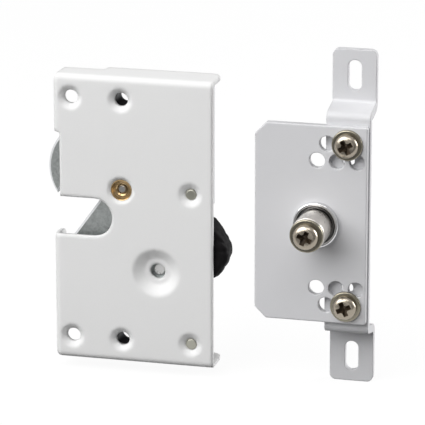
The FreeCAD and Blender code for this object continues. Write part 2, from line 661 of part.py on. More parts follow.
fork = piece("fork", FORK_ACROSS, "0", "forkLevel", turn="forkSwing")
grow(fork, "fork_disc", [("discAcross", "discUp", "forkDisc")], "forkFront", "forkThick")
fork_front = value("forkFront")
soften(fork, "disc_edge", "forkEdge", lambda c, b, e: near(b.YMax, fork_front), kind="PartDesign::Chamfer")
grow(fork, "far_prong",
     [[("slotFar", "0"), ("slotFar", "-prongReach"), ("slotFar + prongWide", "-prongReach", "1.2"),
       ("hubRadius - 1.1", "-4.5"), ("hubRadius - 1.1", "0")]], "forkFront", "forkThick")
grow(fork, "fork_hub", [("0", "0", "hubRadius")], "forkFront", "forkThick")
grow(fork, "stop_lug",
     [[("6 * cos(lugFrom)", "6 * sin(lugFrom)"),
       ("lugReach * cos(lugFrom)", "lugReach * sin(lugFrom)", "0.8"),
       ("lugReach * cos(lugTo)", "lugReach * sin(lugTo)", "0.8"),
       ("6 * cos(lugTo)", "6 * sin(lugTo)")]], "forkFront", "forkThick")
cut(fork, "fork_slot",
    [[("slotNear", "-prongReach - 15"), ("slotFar", "-prongReach - 15"),
      ("slotFar", "slotEnd", "(slotFar - slotNear) * 0.49"),
      ("slotNear", "slotEnd", "(slotFar - slotNear) * 0.49")]], "forkFront - 1", "forkThick + 2")
slot_far = value("slotFar")
slot_near = value("slotNear")
soften(fork, "slot_edge", "forkEdge",
       lambda c, b, e: near(b.YMin, fork_front) and near(b.YMax, fork_front)
       and b.XMax < slot_far + 0.02 and b.XMin > slot_near - 0.02 and b.ZLength > 1,
       kind="PartDesign::Chamfer")
SPRING_TURNS = 2.25
leg_turn = value("stopAngle") - math.degrees(math.acos(
    (value("coilRadius") - value("stopRadius + coilWire / 2 + 0.1")) / value("stopReach")))
hook_turn = leg_turn - 360 * SPRING_TURNS
HOOK_TURN = f"({hook_turn} + forkSwing)"
HOOK = "(1.2 * coilWire)"
cut(fork, "fork_bores",
    [("0", "0", "bushRadius + fitGap"),
     (f"coilRadius * cos({HOOK_TURN}) + {HOOK} * sin({HOOK_TURN})",
      f"coilRadius * sin({HOOK_TURN}) - {HOOK} * cos({HOOK_TURN})",
      "coilWire / 2 + runGap")], "forkFront - 1", "forkThick + 2")

# Fork spring: two and a quarter turns, one leg in the fork, one under the stop stud

radius = value("coilRadius")
wire_radius = value("coilWire / 2")
pitch = value(f"{REAR_FACE} - {FORK_BACK} - coilWire - coilRoom") / SPRING_TURNS
first_depth = value(f"{FORK_BACK} + coilWire / 2 + 0.15")
hook = value(HOOK)


def coil_point(angle, depth):
    return Vector(radius * math.cos(angle), depth, radius * math.sin(angle))


start_angle = math.radians(hook_turn)
steps = int(round(SPRING_TURNS * 4))
points = []
headings = []
for i in range(steps + 1):
    angle = start_angle + i * math.pi / 2
    points.append(coil_point(angle, first_depth + pitch * i / 4))
    climb = pitch / (2 * math.pi) if 0 < i < steps else 0
    headings.append(Vector(-radius * math.sin(angle), climb, radius * math.cos(angle)).normalize())
flat = headings[0]
into = points[0] - flat * hook
low = into - Vector(0, hook, 0)
corner = Part.Arc(low, points[0] - flat * hook * math.sin(math.pi / 4)
                  - Vector(0, hook * (1 - math.cos(math.pi / 4)), 0), points[0]).toShape()
deep_end = value("forkFront + forkThick / 2")
hook_leg = Part.LineSegment(Vector(low.x, deep_end, low.z), low).toShape()
long_leg = Part.LineSegment(points[-1], points[-1] + headings[-1] * (value("stopReach") + 0.3)).toShape()
spring_edges = [corner] + wound(points, headings) + [long_leg]
hook_shift = low - coil_point(start_angle, low.y)
print("fork spring, least gap to itself", round(least_gap(spring_edges, wire_radius, 6), 2))
fork_spring = loose("fork_spring", tube([hook_leg] + spring_edges, wire_radius),
                    FORK_ACROSS, "0", "forkLevel")
print("hook stands off its hole by", [round(v, 2) for v in hook_shift])

# Pawl, drawn in its catching position and set back to the released one

PAWL_FRONT = "(forkFront + (forkThick - pawlThick) / 2)"
TOOTH_RIGHT = f"(holeInset + holePitchAcross - toothShort - {PAWL_ACROSS})"
pawl = piece("pawl", PAWL_ACROSS, "0", "pawlLevel", turn="-pawlSwing")
TAIL_X = "tailArm * cos(pawlSwing / 2)"
TAIL_Z = "-tailArm * sin(pawlSwing / 2)"
grow(pawl, "pawl_arm",
     [[(f"{TOOTH_RIGHT} - toothWide", "-3.1", "1.5"), ("0", "-pawlHub + 0.3"),
       (f"{TAIL_X} + 2.3", "-3", "2.2"), (f"{TAIL_X} + 2.3", "1.6", "2.2"),
       ("0", "pawlHub - 0.3"), (f"{TOOTH_RIGHT} * 0.47", "1.7", "4"), (TOOTH_RIGHT, "1.7", "0.6"),
       (TOOTH_RIGHT, "toothUp", "0.4"), (f"{TOOTH_RIGHT} - 1.8", "toothUp", "0.6"),
       (f"{TOOTH_RIGHT} - toothWide", "0.4", "1")]],
     PAWL_FRONT, "pawlThick")
grow(pawl, "pawl_sleeve", [("0", "0", "pawlHub")],
     "wellDepth + sheetThick + 0.3", "caseDepth - wellDepth - 2 * sheetThick - 0.6")
cut(pawl, "pawl_bores", [("0", "0", "pawlAxle + fitGap")], "0", "caseDepth")
SLEEVE_FRONT = "(wellDepth + sheetThick + 0.3)"
cut(pawl, "sleeve_mouth", [("0", "0", "wellHole + runGap")], f"{SLEEVE_FRONT} - 1", "2.4")
cut(pawl, "tail_bore", [(TAIL_X, TAIL_Z, "tailPin + 0.02")], "0", "caseDepth")

pawl_axle = piece("pawl_axle", PAWL_ACROSS, "0", "pawlLevel")
turned(pawl_axle, "pawl_pin",
       [("0", "wellDepth + 2.4"), ("pawlAxle - 0.3", "wellDepth + 2.4"),
        ("pawlAxle", "wellDepth + 2.7"), ("pawlAxle", "caseDepth - 0.1"), ("0", "caseDepth - 0.1")])

LINK_BACK = f"({PAWL_FRONT} + pawlThick + runGap + linkThick)"
tail = piece("tail_pin", PAWL_ACROSS + " + " + TAIL_X, "0", "pawlLevel + tailArm * sin(pawlSwing / 2)")
turned(tail, "tail_rod",
       [("0", PAWL_FRONT), ("tailPin", PAWL_FRONT), ("tailPin", f"{LINK_BACK} + 0.3"),
        ("0", f"{LINK_BACK} + 0.3")])

# Solenoid: yoke, bobbin, winding, core and plunger on one upright axis

YOKE_HEIGHT = f"({YOKE_TOP} - yokeBottom)"
FLANGE_RADIUS = "((caseDepth - 2 * sheetThick - yokeThick - frontRoom - rearRoom) / 2)"
COIL_DEPTH = f"({REAR_FACE} - yokeThick - rearRoom - {FLANGE_RADIUS})"
WINDING_RADIUS = f"({FLANGE_RADIUS} - windingLow)"
PLUNGER_BOTTOM = "(yokeBottom - plungerOut)"
CLIP_LEVEL = "(yokeBottom - clipOut)"
yoke = piece("solenoid_yoke", SOLENOID_ACROSS)
grow(yoke, "yoke_strip",
     [[("2.2", "yokeBottom"), (REAR_FACE, "yokeBottom", "1.6"), (REAR_FACE, YOKE_TOP, "1.6"),
       ("2.2", YOKE_TOP), ("2.2", f"{YOKE_TOP} - yokeThick"),
       (f"{REAR_FACE} - yokeThick", f"{YOKE_TOP} - yokeThick", "0.4"),
       (f"{REAR_FACE} - yokeThick", "yokeBottom + yokeThick", "0.4"),
       ("2.2", "yokeBottom + yokeThick")]],
     "-yokeWidth / 2", "yokeWidth", plane="YZ_Plane")
cut(yoke, "yoke_bore", [("0", COIL_DEPTH, "plungerRadius + fitGap")],
    "yokeBottom - 1", f"{YOKE_HEIGHT} + 2", plane="XY_Plane")
cut(yoke, "yoke_threads",
    [("0", f"{FIX_MIDDLE} + fixPitch / 2", "fixScrew + fitGap"),
     ("0", f"{FIX_MIDDLE} - fixPitch / 2", "fixScrew + fitGap")],
    f"{REAR_FACE} - yokeThick - 0.5", "yokeThick + 2")

COIL_LOW = "(yokeBottom + yokeThick + fitGap)"
COIL_HIGH = f"({YOKE_TOP} - yokeThick - fitGap)"
bobbin = piece("coil_bobbin", SOLENOID_ACROSS, COIL_DEPTH)
turned(bobbin, "bobbin",
       [("plungerRadius + 0.1", COIL_LOW), (FLANGE_RADIUS, COIL_LOW),
        (FLANGE_RADIUS, f"{COIL_LOW} + flangeThick"), ("tubeRadius", f"{COIL_LOW} + flangeThick"),
        ("tubeRadius", f"{COIL_HIGH} - flangeThick"), (FLANGE_RADIUS, f"{COIL_HIGH} - flangeThick"),
        (FLANGE_RADIUS, COIL_HIGH), ("plungerRadius + 0.1", COIL_HIGH)], upright=True)

winding = piece("coil_winding", SOLENOID_ACROSS, COIL_DEPTH)
turned(winding, "winding",
       [("tubeRadius + 0.02", f"{COIL_LOW} + flangeThick + 0.02"),
        (WINDING_RADIUS, f"{COIL_LOW} + flangeThick + 0.02"),
        (WINDING_RADIUS, f"{COIL_HIGH} - flangeThick - 0.02"),
        ("tubeRadius + 0.02", f"{COIL_HIGH} - flangeThick - 0.02")], upright=True)

core = piece("solenoid_core", SOLENOID_ACROSS, COIL_DEPTH)
turned(core, "core",
       [("0", f"{YOKE_TOP} - coreLength"), ("plungerRadius", f"{YOKE_TOP} - coreLength"),
        ("plungerRadius", YOKE_TOP), ("0", YOKE_TOP)], upright=True)

plunger = piece("plunger", SOLENOID_ACROSS, COIL_DEPTH)
PLUNGER_TOP = f"({YOKE_TOP} - coreLength - strokeGap)"
turned(plunger, "plunger_rod",
       [("0", PLUNGER_BOTTOM), ("plungerRadius", PLUNGER_BOTTOM), ("plungerRadius", CLIP_LEVEL),
        ("plungerRadius - 0.5", CLIP_LEVEL), ("plungerRadius - 0.5", f"{CLIP_LEVEL} + clipThick"),
        ("plungerRadius", f"{CLIP_LEVEL} + clipThick"), ("plungerRadius", PLUNGER_TOP),
        ("0", PLUNGER_TOP)], upright=True)
cut(plunger, "plunger_slot",
    [[("-plungerRadius - 1", f"{PLUNGER_BOTTOM} - 1"), ("plungerRadius + 1", f"{PLUNGER_BOTTOM} - 1"),
      ("plungerRadius + 1", f"{PLUNGER_BOTTOM} + 4.2"), ("-plungerRadius - 1", f"{PLUNGER_BOTTOM} + 4.2")]],
    "-linkThick / 2 - fitGap", "linkThick + 2 * fitGap")
cut(plunger, "plunger_bore", [("0", f"{PLUNGER_BOTTOM} + 2", "linkPin + 0.02")], "-5", "10")

clip = piece("plunger_clip", SOLENOID_ACROSS, COIL_DEPTH)
turned(clip, "clip_ring",
       [("plungerRadius - 0.5 + 0.02", f"{CLIP_LEVEL} + 0.02"), ("clipRadius", f"{CLIP_LEVEL} + 0.02"),
        ("clipRadius", f"{CLIP_LEVEL} + clipThick - 0.02"),
        ("plungerRadius - 0.5 + 0.02", f"{CLIP_LEVEL} + clipThick - 0.02")], upright=True)
cut(clip, "clip_mouth",
    [[("-1.2", "-clipRadius - 1"), ("1.2", "-clipRadius - 1"), ("1.2", "-0.5"), ("-1.2", "-0.5")]],
    f"{CLIP_LEVEL} - 1", "clipThick + 2", plane="XY_Plane")

link_pin = piece("link_pin", SOLENOID_ACROSS, COIL_DEPTH, f"{PLUNGER_BOTTOM} + 2")
turned(link_pin, "link_rod",
       [("0", "-plungerRadius"), ("linkPin", "-plungerRadius"), ("linkPin", "plungerRadius"),
        ("0", "plungerRadius")])

TAIL_LEVEL = "(pawlLevel + tailArm * sin(pawlSwing / 2))"
link = piece("plunger_link", SOLENOID_ACROSS)
FRONT_RUN = f"({COIL_DEPTH} - linkThick / 2)"
REAR_RUN = f"({PAWL_FRONT} + pawlThick + runGap)"
grow(link, "link_strip",
     [[(FRONT_RUN, f"{PLUNGER_BOTTOM} + 3.8"), (FRONT_RUN, "0", "1.5"), (REAR_RUN, "-5", "3"),
       (REAR_RUN, f"{TAIL_LEVEL} - 2.4"), (f"{REAR_RUN} + linkThick", f"{TAIL_LEVEL} - 2.4"),
       (f"{REAR_RUN} + linkThick", "-5 + 0.5", "1.5"), (f"{FRONT_RUN} + linkThick", "0.5", "3"),
       (f"{FRONT_RUN} + linkThick", f"{PLUNGER_BOTTOM} + 3.8")]],
     "-(linkWidth / 2 + 0.8)", "linkWidth + 1.6", plane="YZ_Plane")
for name, sign in (("left_waist", "-"), ("right_waist", "")):
    cut(link, name,
        [[(f"{sign}(linkWidth / 2)", f"{PLUNGER_BOTTOM} + 9"), (f"{sign}(linkWidth / 2)", "-9.5", "2"),
          (f"{sign}(linkWidth / 2 + 3)", "-11.5"), (f"{sign}(linkWidth / 2 + 3)", f"{PLUNGER_BOTTOM} + 9")]],
        "0", "caseDepth")
cut(link, "link_bores",
    [("0", TAIL_LEVEL, "tailPin + 0.15"), ("0", f"{PLUNGER_BOTTOM} + 2", "linkPin + 0.02")], "0", "caseDepth")

screws = piece("solenoid_screws", SOLENOID_ACROSS)
for name, sign in (("upper_screw", "+"), ("lower_screw", "-")):
    turned(screws, name,
           [("0", "caseDepth - 0.05"), ("fixHead", "caseDepth - 0.05"),
            ("fixScrew", "caseDepth - 0.05 - (fixHead - fixScrew)"),
            ("fixScrew", f"{REAR_FACE} - yokeThick"), ("0", f"{REAR_FACE} - yokeThick")],
           "0", f"{FIX_MIDDLE} {sign} fixPitch / 2")

# Plunger spring: a compression spring between the clip and the yoke

radius = value("springRadius")
wire_radius = value("springWire / 2")
low = value(f"{CLIP_LEVEL} + clipThick + springWire / 2 + 0.05")
high = value("yokeBottom - springWire / 2 - 0.05")
turns = value("springTurns")
steps = int(round(turns * 4))
points = []
headings = []
for i in range(steps + 1):
    angle = 2 * math.pi * turns * i / steps
    points.append(Vector(radius * math.cos(angle), radius * math.sin(angle), low + (high - low) * i / steps))
    climb = (high - low) / (2 * math.pi * turns) if 0 < i < steps else 0
    headings.append(Vector(-radius * math.sin(angle), radius * math.cos(angle), climb).normalize())
spring_edges = wound(points, headings)
print("plunger spring, least gap to itself", round(least_gap(spring_edges, wire_radius, 6), 2))
loose("plunger_spring", tube(spring_edges, wire_radius), SOLENOID_ACROSS, COIL_DEPTH)

# Leads and the soft boot where they leave the case

lead_x = value(f"caseWidth - leadColumn - {SOLENOID_ACROSS}")
lead_top = value("yokeBottom + leadRise")
lead_end = value("bootTop + fitGap")
lead_start = value(f"{WINDING_RADIUS} + fitGap")
bend = value("6 * leadRadius")


def bent_run(points, bend):
    """Straight runs joined by tangent arcs of one radius."""
    edges = []
    here = points[0]
    for i in range(1, len(points) - 1):
        back = (points[i - 1] - points[i]).normalize()
        on = (points[i + 1] - points[i]).normalize()
        half = back.getAngle(on) / 2
        reach = bend / math.tan(half)
        enter, leave = points[i] + back * reach, points[i] + on * reach
        middle = points[i] + (back + on).normalize() * (bend / math.sin(half) - bend)
        edges.append(Part.LineSegment(here, enter).toShape())
        edges.append(Part.Arc(enter, middle, leave).toShape())
        here = leave
    edges.append(Part.LineSegment(here, points[-1]).toShape())
    return edges


leads = []
for side in (-1.2, 1.2):
    route = [Vector(lead_start, side, lead_top), Vector(lead_x - 2.7, side, lead_top),
             Vector(lead_x, side, lead_top - 2.7), Vector(lead_x, side, lead_end)]
    leads.append(tube(bent_run(route, bend), value("leadRadius")))
print("lead bends", round(bend, 2))
loose("coil_leads", Part.makeCompound(leads), SOLENOID_ACROSS, COIL_DEPTH)

boot = piece("lead_boot")
BOOT_MIDDLE = "((bootTop + bootBottom) / 2)"
BOOT_LEFT = "(caseWidth - bootInside)"
grow(boot, "boot_body",
     [[(BOOT_LEFT, "bootBottom", "2.5"), ("caseWidth", "bootBottom", "7"),
       ("caseWidth + bootOut", BOOT_MIDDLE, "5"), ("caseWidth", "bootTop", "7"),
       (BOOT_LEFT, "bootTop", "2.5")]], "sheetThick + 0.3", "caseDepth - 2 * sheetThick - 0.6")
boot_front = value("sheetThick + 0.3")
boot_back = value("caseDepth - sheetThick - 0.3")
soften(boot, "boot_edges", "bootSoft",
       lambda c, b, e: b.YLength < 0.05 and (near(c.y, boot_front) or near(c.y, boot_back)))

# Striker plate with its grid of adjusting holes

PLATE_HALF = "plateHeight / 2"
SCREW_UP = "(plateHeight / 2 - screwFromEnd)"
ROW = f"({SCREW_UP} - gridPitch * sin(60))"
plate = piece("striker_plate", "strikerAcross", "plateFront", "strikerLevel")
holes = [("pinAcross", "0", "pinShaft + fitGap")]
for sign in ("", "-"):
    holes += [("0", f"{sign}{SCREW_UP}", "gridRadius"), ("-gridPitch", f"{sign}{SCREW_UP}", "gridRadius"),
              ("gridPitch / 2", f"{sign}{ROW}", "gridRadius"),
              ("-gridPitch / 2", f"{sign}{ROW}", "gridRadius"),
              ("-gridPitch * 3 / 2", f"{sign}{ROW}", "gridRadius")]
grow(plate, "plate_sheet",
     [[("-plateLeft + plateCorner", f"-{PLATE_HALF}", "1"), ("plateRight", f"-{PLATE_HALF}", "0.8"),
       ("plateRight", PLATE_HALF, "0.8"), ("-plateLeft + plateCorner", PLATE_HALF, "1"),
       ("-plateLeft", f"{PLATE_HALF} - plateCorner", "1"),
       ("-plateLeft", f"-({PLATE_HALF} - plateCorner)", "1")]], "0", "plateThick")
cut(plate, "plate_holes", holes, "-1", "plateThick + 2")
soften(plate, "plate_edges", "plateSoft",
       lambda c, b, e: near(b.YMin, 0) and near(b.YMax, 0)
       and not e.isClosed())

# Striker base: a strip bent back into two slotted ears

STRIP_FRONT = "(plateFront + plateThick)"
EAR_BACK = "(caseDepth - plateFront - plateThick)"
EAR_FRONT = "(caseDepth - plateFront - plateThick - stripThick)"
STRIP_UP = "(plateHeight / 2 + stripBeyond)"
SLOT_LOW = f"({STRIP_UP} + stripLean + slotStart)"
SLOT_HIGH = "(earReach - slotToEnd)"
base = piece("striker_base", "strikerAcross", STRIP_FRONT, "strikerLevel")
grow(base, "base_strip",
     [[("0", f"-{STRIP_UP}", "2.6"), ("0", STRIP_UP, "2.6"),
       (EAR_FRONT, f"{STRIP_UP} + stripLean", "1.2"), (EAR_FRONT, "earReach"), (EAR_BACK, "earReach"),
       (EAR_BACK, f"{STRIP_UP} + stripLean - 1.02 * stripThick", "3.7"),
       ("stripThick", f"{STRIP_UP} - 1.02 * stripThick", "1.2"),
       ("stripThick", f"-({STRIP_UP} - 1.02 * stripThick)", "1.2"),
       (EAR_BACK, f"-({STRIP_UP} + stripLean - 1.02 * stripThick)", "3.7"),
       (EAR_BACK, "-earReach"), (EAR_FRONT, "-earReach"),
       (EAR_FRONT, f"-({STRIP_UP} + stripLean)", "1.2")]],
     "-stripLeft", "stripLeft + stripRight", plane="YZ_Plane")
base_holes = []
for sign in ("", "-"):
    base_holes += [("0", f"{sign}{SCREW_UP}", "screwRadius + fitGap"),
                   ("0", f"{sign}{ROW}", "tapRadius")]
cut(base, "base_threads", base_holes, "-1", "stripThick + 2")
for name, sign in (("upper_slot", ""), ("lower_slot", "-")):
    cut(base, name,
        [[("slotAcross - slotWidth / 2", f"{sign}{SLOT_LOW}", "slotWidth * 0.49"),
          ("slotAcross + slotWidth / 2", f"{sign}{SLOT_LOW}", "slotWidth * 0.49"),
          ("slotAcross + slotWidth / 2", f"{sign}{SLOT_HIGH}", "slotWidth * 0.49"),
          ("slotAcross - slotWidth / 2", f"{sign}{SLOT_HIGH}", "slotWidth * 0.49")]],
        f"{EAR_FRONT} - 1", "stripThick + 2")
ear_end = value("earReach")
soften(base, "ear_corners", "earSoft",
       lambda c, b, e: near(abs(c.z), ear_end) and b.ZLength < 0.05 and b.XLength < 0.05)

# Adjusting screws and their washers

CROSS_ARM = 0.55
CROSS_REACH = 2.3


def cross(body, name, across, level, top, deep, scale=1.0):
    """A cross recess sunk into a head from its top."""
    a, r = CROSS_ARM * scale, CROSS_REACH * scale
    corners = [(-a, -r), (a, -r), (a, -a), (r, -a), (r, a), (a, a), (a, r), (-a, r), (-a, a), (-r, a),
               (-r, -a), (-a, -a)]
    cut(body, name, [[(f"{across} + {x}", f"{level} + {y}") for x, y in corners]], f"{top} - 1", f"{deep} + 1")


washers = piece("adjust_washers", "strikerAcross", "plateFront", "strikerLevel")
bolts = piece("adjust_screws", "strikerAcross", "plateFront", "strikerLevel")
for name, sign in (("upper", ""), ("lower", "-")):
    turned(washers, name + "_washer",
           [("screwRadius + fitGap", "-collarThick"), ("collarRadius", "-collarThick", "0.5"),
            ("collarRadius", "0"), ("screwRadius + fitGap", "0")], "0", f"{sign}{SCREW_UP}")
    turned(bolts, name + "_screw",
           [("0", "-collarThick - screwDome"), ("screwHead", "-collarThick - screwDome", "2.5"),
            ("screwHead", "-collarThick"), ("screwRadius", "-collarThick"),
            ("screwRadius", "plateThick + stripThick + 1"), ("0", "plateThick + stripThick + 1")],
           "0", f"{sign}{SCREW_UP}")
for name, sign in (("upper_cross", ""), ("lower_cross", "-")):
    cross(bolts, name, "0", f"{sign}{SCREW_UP}", "(-collarThick - screwDome)", "1.9")

# Striker pin: flange, stud, roller, washer and screw on one axis

PIN_ACROSS = "strikerAcross + pinAcross"
ROLLER_NEAR = "(-flangeHigh - 1.5 * runGap)"
ROLLER_FAR = "(-flangeHigh - 1.5 * runGap - rollerLength)"
SHAFT_END = "(-flangeHigh - 3 * runGap - rollerLength)"
flange = piece("pin_flange", PIN_ACROSS, "plateFront", "strikerLevel")
turned(flange, "flange_ring",
       [("pinShaft + fitGap", "-flangeHigh + 0.5"), ("pinFlange - 1.4", "-flangeHigh + 0.5", "0.15"),
        ("pinFlange - 1", "-flangeHigh", "0.15"), ("pinFlange", "-flangeHigh", "0.5"),
        ("pinFlange", "0"), ("pinShaft + fitGap", "0")])
stud = piece("pin_stud", PIN_ACROSS, "plateFront", "strikerLevel")
turned(stud, "stud_shaft",
       [("pinThread + 0.02", SHAFT_END), ("pinShaft", SHAFT_END), ("pinShaft", "plateThick"),
        ("0", "plateThick"), ("0", f"{SHAFT_END} + 8"), ("pinThread + 0.02", f"{SHAFT_END} + 8")])
roller = piece("pin_roller", PIN_ACROSS, "plateFront", "strikerLevel")
turned(roller, "roller_sleeve",
       [("pinShaft + runGap / 2", ROLLER_FAR), ("pinRoller", ROLLER_FAR, "0.4"),
        ("pinRoller", ROLLER_NEAR, "0.4"), ("pinShaft + runGap / 2", ROLLER_NEAR)])
collar = piece("pin_washer", PIN_ACROSS, "plateFront", "strikerLevel")
turned(collar, "end_washer",
       [("pinThread + fitGap", f"{SHAFT_END} - pinCollarThick"),
        ("pinCollar", f"{SHAFT_END} - pinCollarThick", "0.5"), ("pinCollar", SHAFT_END),
        ("pinThread + fitGap", SHAFT_END)])
cap = piece("pin_screw", PIN_ACROSS, "plateFront", "strikerLevel")
HEAD_SEAT = f"({SHAFT_END} - pinCollarThick)"
turned(cap, "cap_screw",
       [("0", f"{HEAD_SEAT} - pinDome"), ("pinHead", f"{HEAD_SEAT} - pinDome", "2.7"),
        ("pinHead", HEAD_SEAT), ("pinThread", HEAD_SEAT), ("pinThread", f"{SHAFT_END} + 7"),
        ("0", f"{SHAFT_END} + 7")])
cross(cap, "cap_cross", "0", "0", f"({HEAD_SEAT} - pinDome)", "2", 1.1)

# Check every object, then write one file for each piece

doc.recompute()
for thing in doc.Objects:
    if "Invalid" in thing.State or "Error" in thing.State:
        raise RuntimeError(thing.Name + " failed: " + str(thing.State))
facets = 0
for thing in parts:
    shape = thing.Shape
    if shape.isNull() or not shape.isValid() or not shape.Solids:
        raise RuntimeError(thing.Label + " has no valid solid")
    count = len(shape.tessellate(0.1)[1])
    facets += count
    shape.exportStep(os.path.join("parts", thing.Label + ".step"))
    box = shape.BoundBox
    print(thing.Label, len(shape.Solids), count, round(shape.Volume, 1),
          [round(v, 2) for v in (box.XMin, box.XMax, box.YMin, box.YMax, box.ZMin, box.ZMax)])
print("pieces", len(parts), "facets", facets)
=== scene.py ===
"""Dresses the electric bolt lock: finishes for every piece, wound and soft pieces, stage and camera."""

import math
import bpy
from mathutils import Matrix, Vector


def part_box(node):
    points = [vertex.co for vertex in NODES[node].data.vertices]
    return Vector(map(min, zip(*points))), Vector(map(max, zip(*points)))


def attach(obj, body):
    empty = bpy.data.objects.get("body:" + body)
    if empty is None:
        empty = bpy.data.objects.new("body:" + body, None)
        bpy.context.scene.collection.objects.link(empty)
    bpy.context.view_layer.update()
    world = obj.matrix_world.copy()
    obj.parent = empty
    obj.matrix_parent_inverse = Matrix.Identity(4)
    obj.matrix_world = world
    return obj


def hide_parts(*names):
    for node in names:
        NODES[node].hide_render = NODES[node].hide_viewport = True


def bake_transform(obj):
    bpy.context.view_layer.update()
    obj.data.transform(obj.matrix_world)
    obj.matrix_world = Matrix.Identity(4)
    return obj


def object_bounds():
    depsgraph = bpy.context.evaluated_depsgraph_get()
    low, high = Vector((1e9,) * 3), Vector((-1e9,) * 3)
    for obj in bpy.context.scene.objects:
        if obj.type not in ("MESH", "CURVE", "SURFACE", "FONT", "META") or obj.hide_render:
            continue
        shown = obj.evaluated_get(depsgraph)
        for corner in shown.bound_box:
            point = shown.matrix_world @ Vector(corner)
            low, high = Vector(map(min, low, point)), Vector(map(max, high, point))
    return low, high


bl_info = {
    "name": "Electric bolt lock",
    "version": (1, 0, 0),
    "blender": (4, 5, 0),
    "location": "3D View > Sidebar > Bolt Lock",
    "description": "Finishes, springs, coil, screws and boot of an electric bolt lock on its frame",
    "category": "Object",
}

import bmesh
import bpy
from bpy.props import FloatProperty, FloatVectorProperty, IntProperty, PointerProperty
from bpy.types import Operator, Panel, PropertyGroup
from mathutils import Matrix, Vector, noise

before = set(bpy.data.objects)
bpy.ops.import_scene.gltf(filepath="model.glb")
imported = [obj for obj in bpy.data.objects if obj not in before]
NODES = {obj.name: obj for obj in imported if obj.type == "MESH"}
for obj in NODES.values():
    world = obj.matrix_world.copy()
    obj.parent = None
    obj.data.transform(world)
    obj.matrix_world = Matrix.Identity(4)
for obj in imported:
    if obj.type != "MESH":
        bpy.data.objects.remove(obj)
CAD_BOX = [list(corner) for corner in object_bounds()]


def middle(name):
    """Centre of a CAD node's box."""
    low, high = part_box(name)
    return (low + high) / 2


def size_of(name):
    """Lengths of a CAD node's box."""
    low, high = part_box(name)
    return high - low


# Sizes and colours that a user would change

def colour(label, text, default):
    return FloatVectorProperty(name=label, description=text, default=default, size=3, min=0, max=1,
                               subtype="COLOR")


def length(label, text, default, top=1.0):
    return FloatProperty(name=label, description=text, default=default, min=0, max=top, precision=5,
                         subtype="DISTANCE", unit="LENGTH")


def share(label, text, default):
    return FloatProperty(name=label, description=text, default=default, min=0, max=1, subtype="FACTOR")


def turn(label, text, degrees):
    return FloatProperty(name=label, description=text, default=math.radians(degrees), subtype="ANGLE",
                         unit="ROTATION")


def power(label, text, watts):
    return FloatProperty(name=label, description=text, default=watts, min=0, unit="POWER")


class FinishSettings(PropertyGroup):
    """Colours and textures of the lock's finishes."""

    case_coat: colour("Case coat", "Powder coat of the lock case", (0.74, 0.74, 0.738))
    striker_coat: colour("Striker coat", "Powder coat of the striker", (0.62, 0.62, 0.635))
    zinc: colour("Zinc sheet", "Plated sheet of the rear plate and yoke", (0.5, 0.52, 0.54))
    fork_zinc: colour("Fork", "Mottled plating of the fork and pawl", (0.4, 0.42, 0.415))
    steel: colour("Turned steel", "Axles, pins and plunger", (0.56, 0.55, 0.53))
    post_steel: colour("Posts", "Riveted posts with an olive cast", (0.4, 0.395, 0.34))
    axle_steel: colour("Pawl axle", "Bright end of the pawl's axle", (0.78, 0.78, 0.77))
    # Near-black colour of the spacers: painted shade for the deep shade inside the screw holes, not oil on
    # the tubes.
    spacer_painted_shade: colour("Spacers", "Oiled tubes behind the screw holes", (0.03, 0.03, 0.034))
    spring: colour("Spring wire", "Drawn wire of both springs", (0.34, 0.34, 0.35))
    brass: colour("Brass", "Bush of the fork", (0.52, 0.37, 0.195))
    nickel: colour("Warm nickel", "Cross-recess screws", (0.44, 0.39, 0.32))
    washer_nickel: colour("Washer nickel", "Washers of the screws", (0.31, 0.285, 0.225))
    # Near-black brown: painted shade on the floor and walls of the cross recesses.
    recess: colour("Screw recess", "Dull floor of the cross recesses", (0.05, 0.034, 0.02))
    chrome: colour("Bright plating", "Flange of the striker pin", (0.72, 0.72, 0.725))
    satin: colour("Satin steel", "Roller of the striker pin", (0.69, 0.655, 0.61))
    copper: colour("Copper wire", "Enamelled wire of the coil", (0.5, 0.17, 0.05))
    bobbin: colour("Bobbin", "Moulded bobbin", (0.035, 0.035, 0.04))
    lead_red: colour("First lead", "Insulation of the first lead", (0.35, 0.02, 0.015))
    lead_black: colour("Second lead", "Insulation of the second lead", (0.02, 0.02, 0.022))
    boot: colour("Boot", "Soft boot at the end of the leads", (0.0085, 0.008, 0.0085))
    peel: length("Coat ripple", "Height of the ripple of the powder coat", 0.000025, 0.001)
    case_round: length("Case edges", "How wide the powder coat rounds the case's edges", 0.002, 0.004)
    striker_round: length("Striker edges", "How wide the powder coat rounds the striker's edges", 0.0006,
                          0.002)


class ShapeSettings(PropertyGroup):
    """Sizes of the pieces that are made here."""

    ring_steps: IntProperty(name="Steps round", description="Faces round a turned piece", default=72, min=16)
    cross_half: length("Recess arm", "Half the width of an arm of the cross recess", 0.00085, 0.01)
    cross_reach: length("Recess reach", "Length of an arm of the cross recess", 0.00265, 0.01)
    cross_deep: length("Recess depth", "Depth of the cross recess", 0.0018, 0.01)
    upper_turn: turn("Upper screw", "Turn of the upper adjusting screw's recess", 28)
    lower_turn: turn("Lower screw", "Turn of the lower adjusting screw's recess", 24)
    pin_turn: turn("Pin screw", "Turn of the pin screw's recess", -22)
    coil_wire: length("Coil wire", "Diameter of the coil's wire", 0.0004, 0.01)
    boot_fold: length("Boot folds", "Depth of the folds of the soft boot", 0.00045, 0.01)


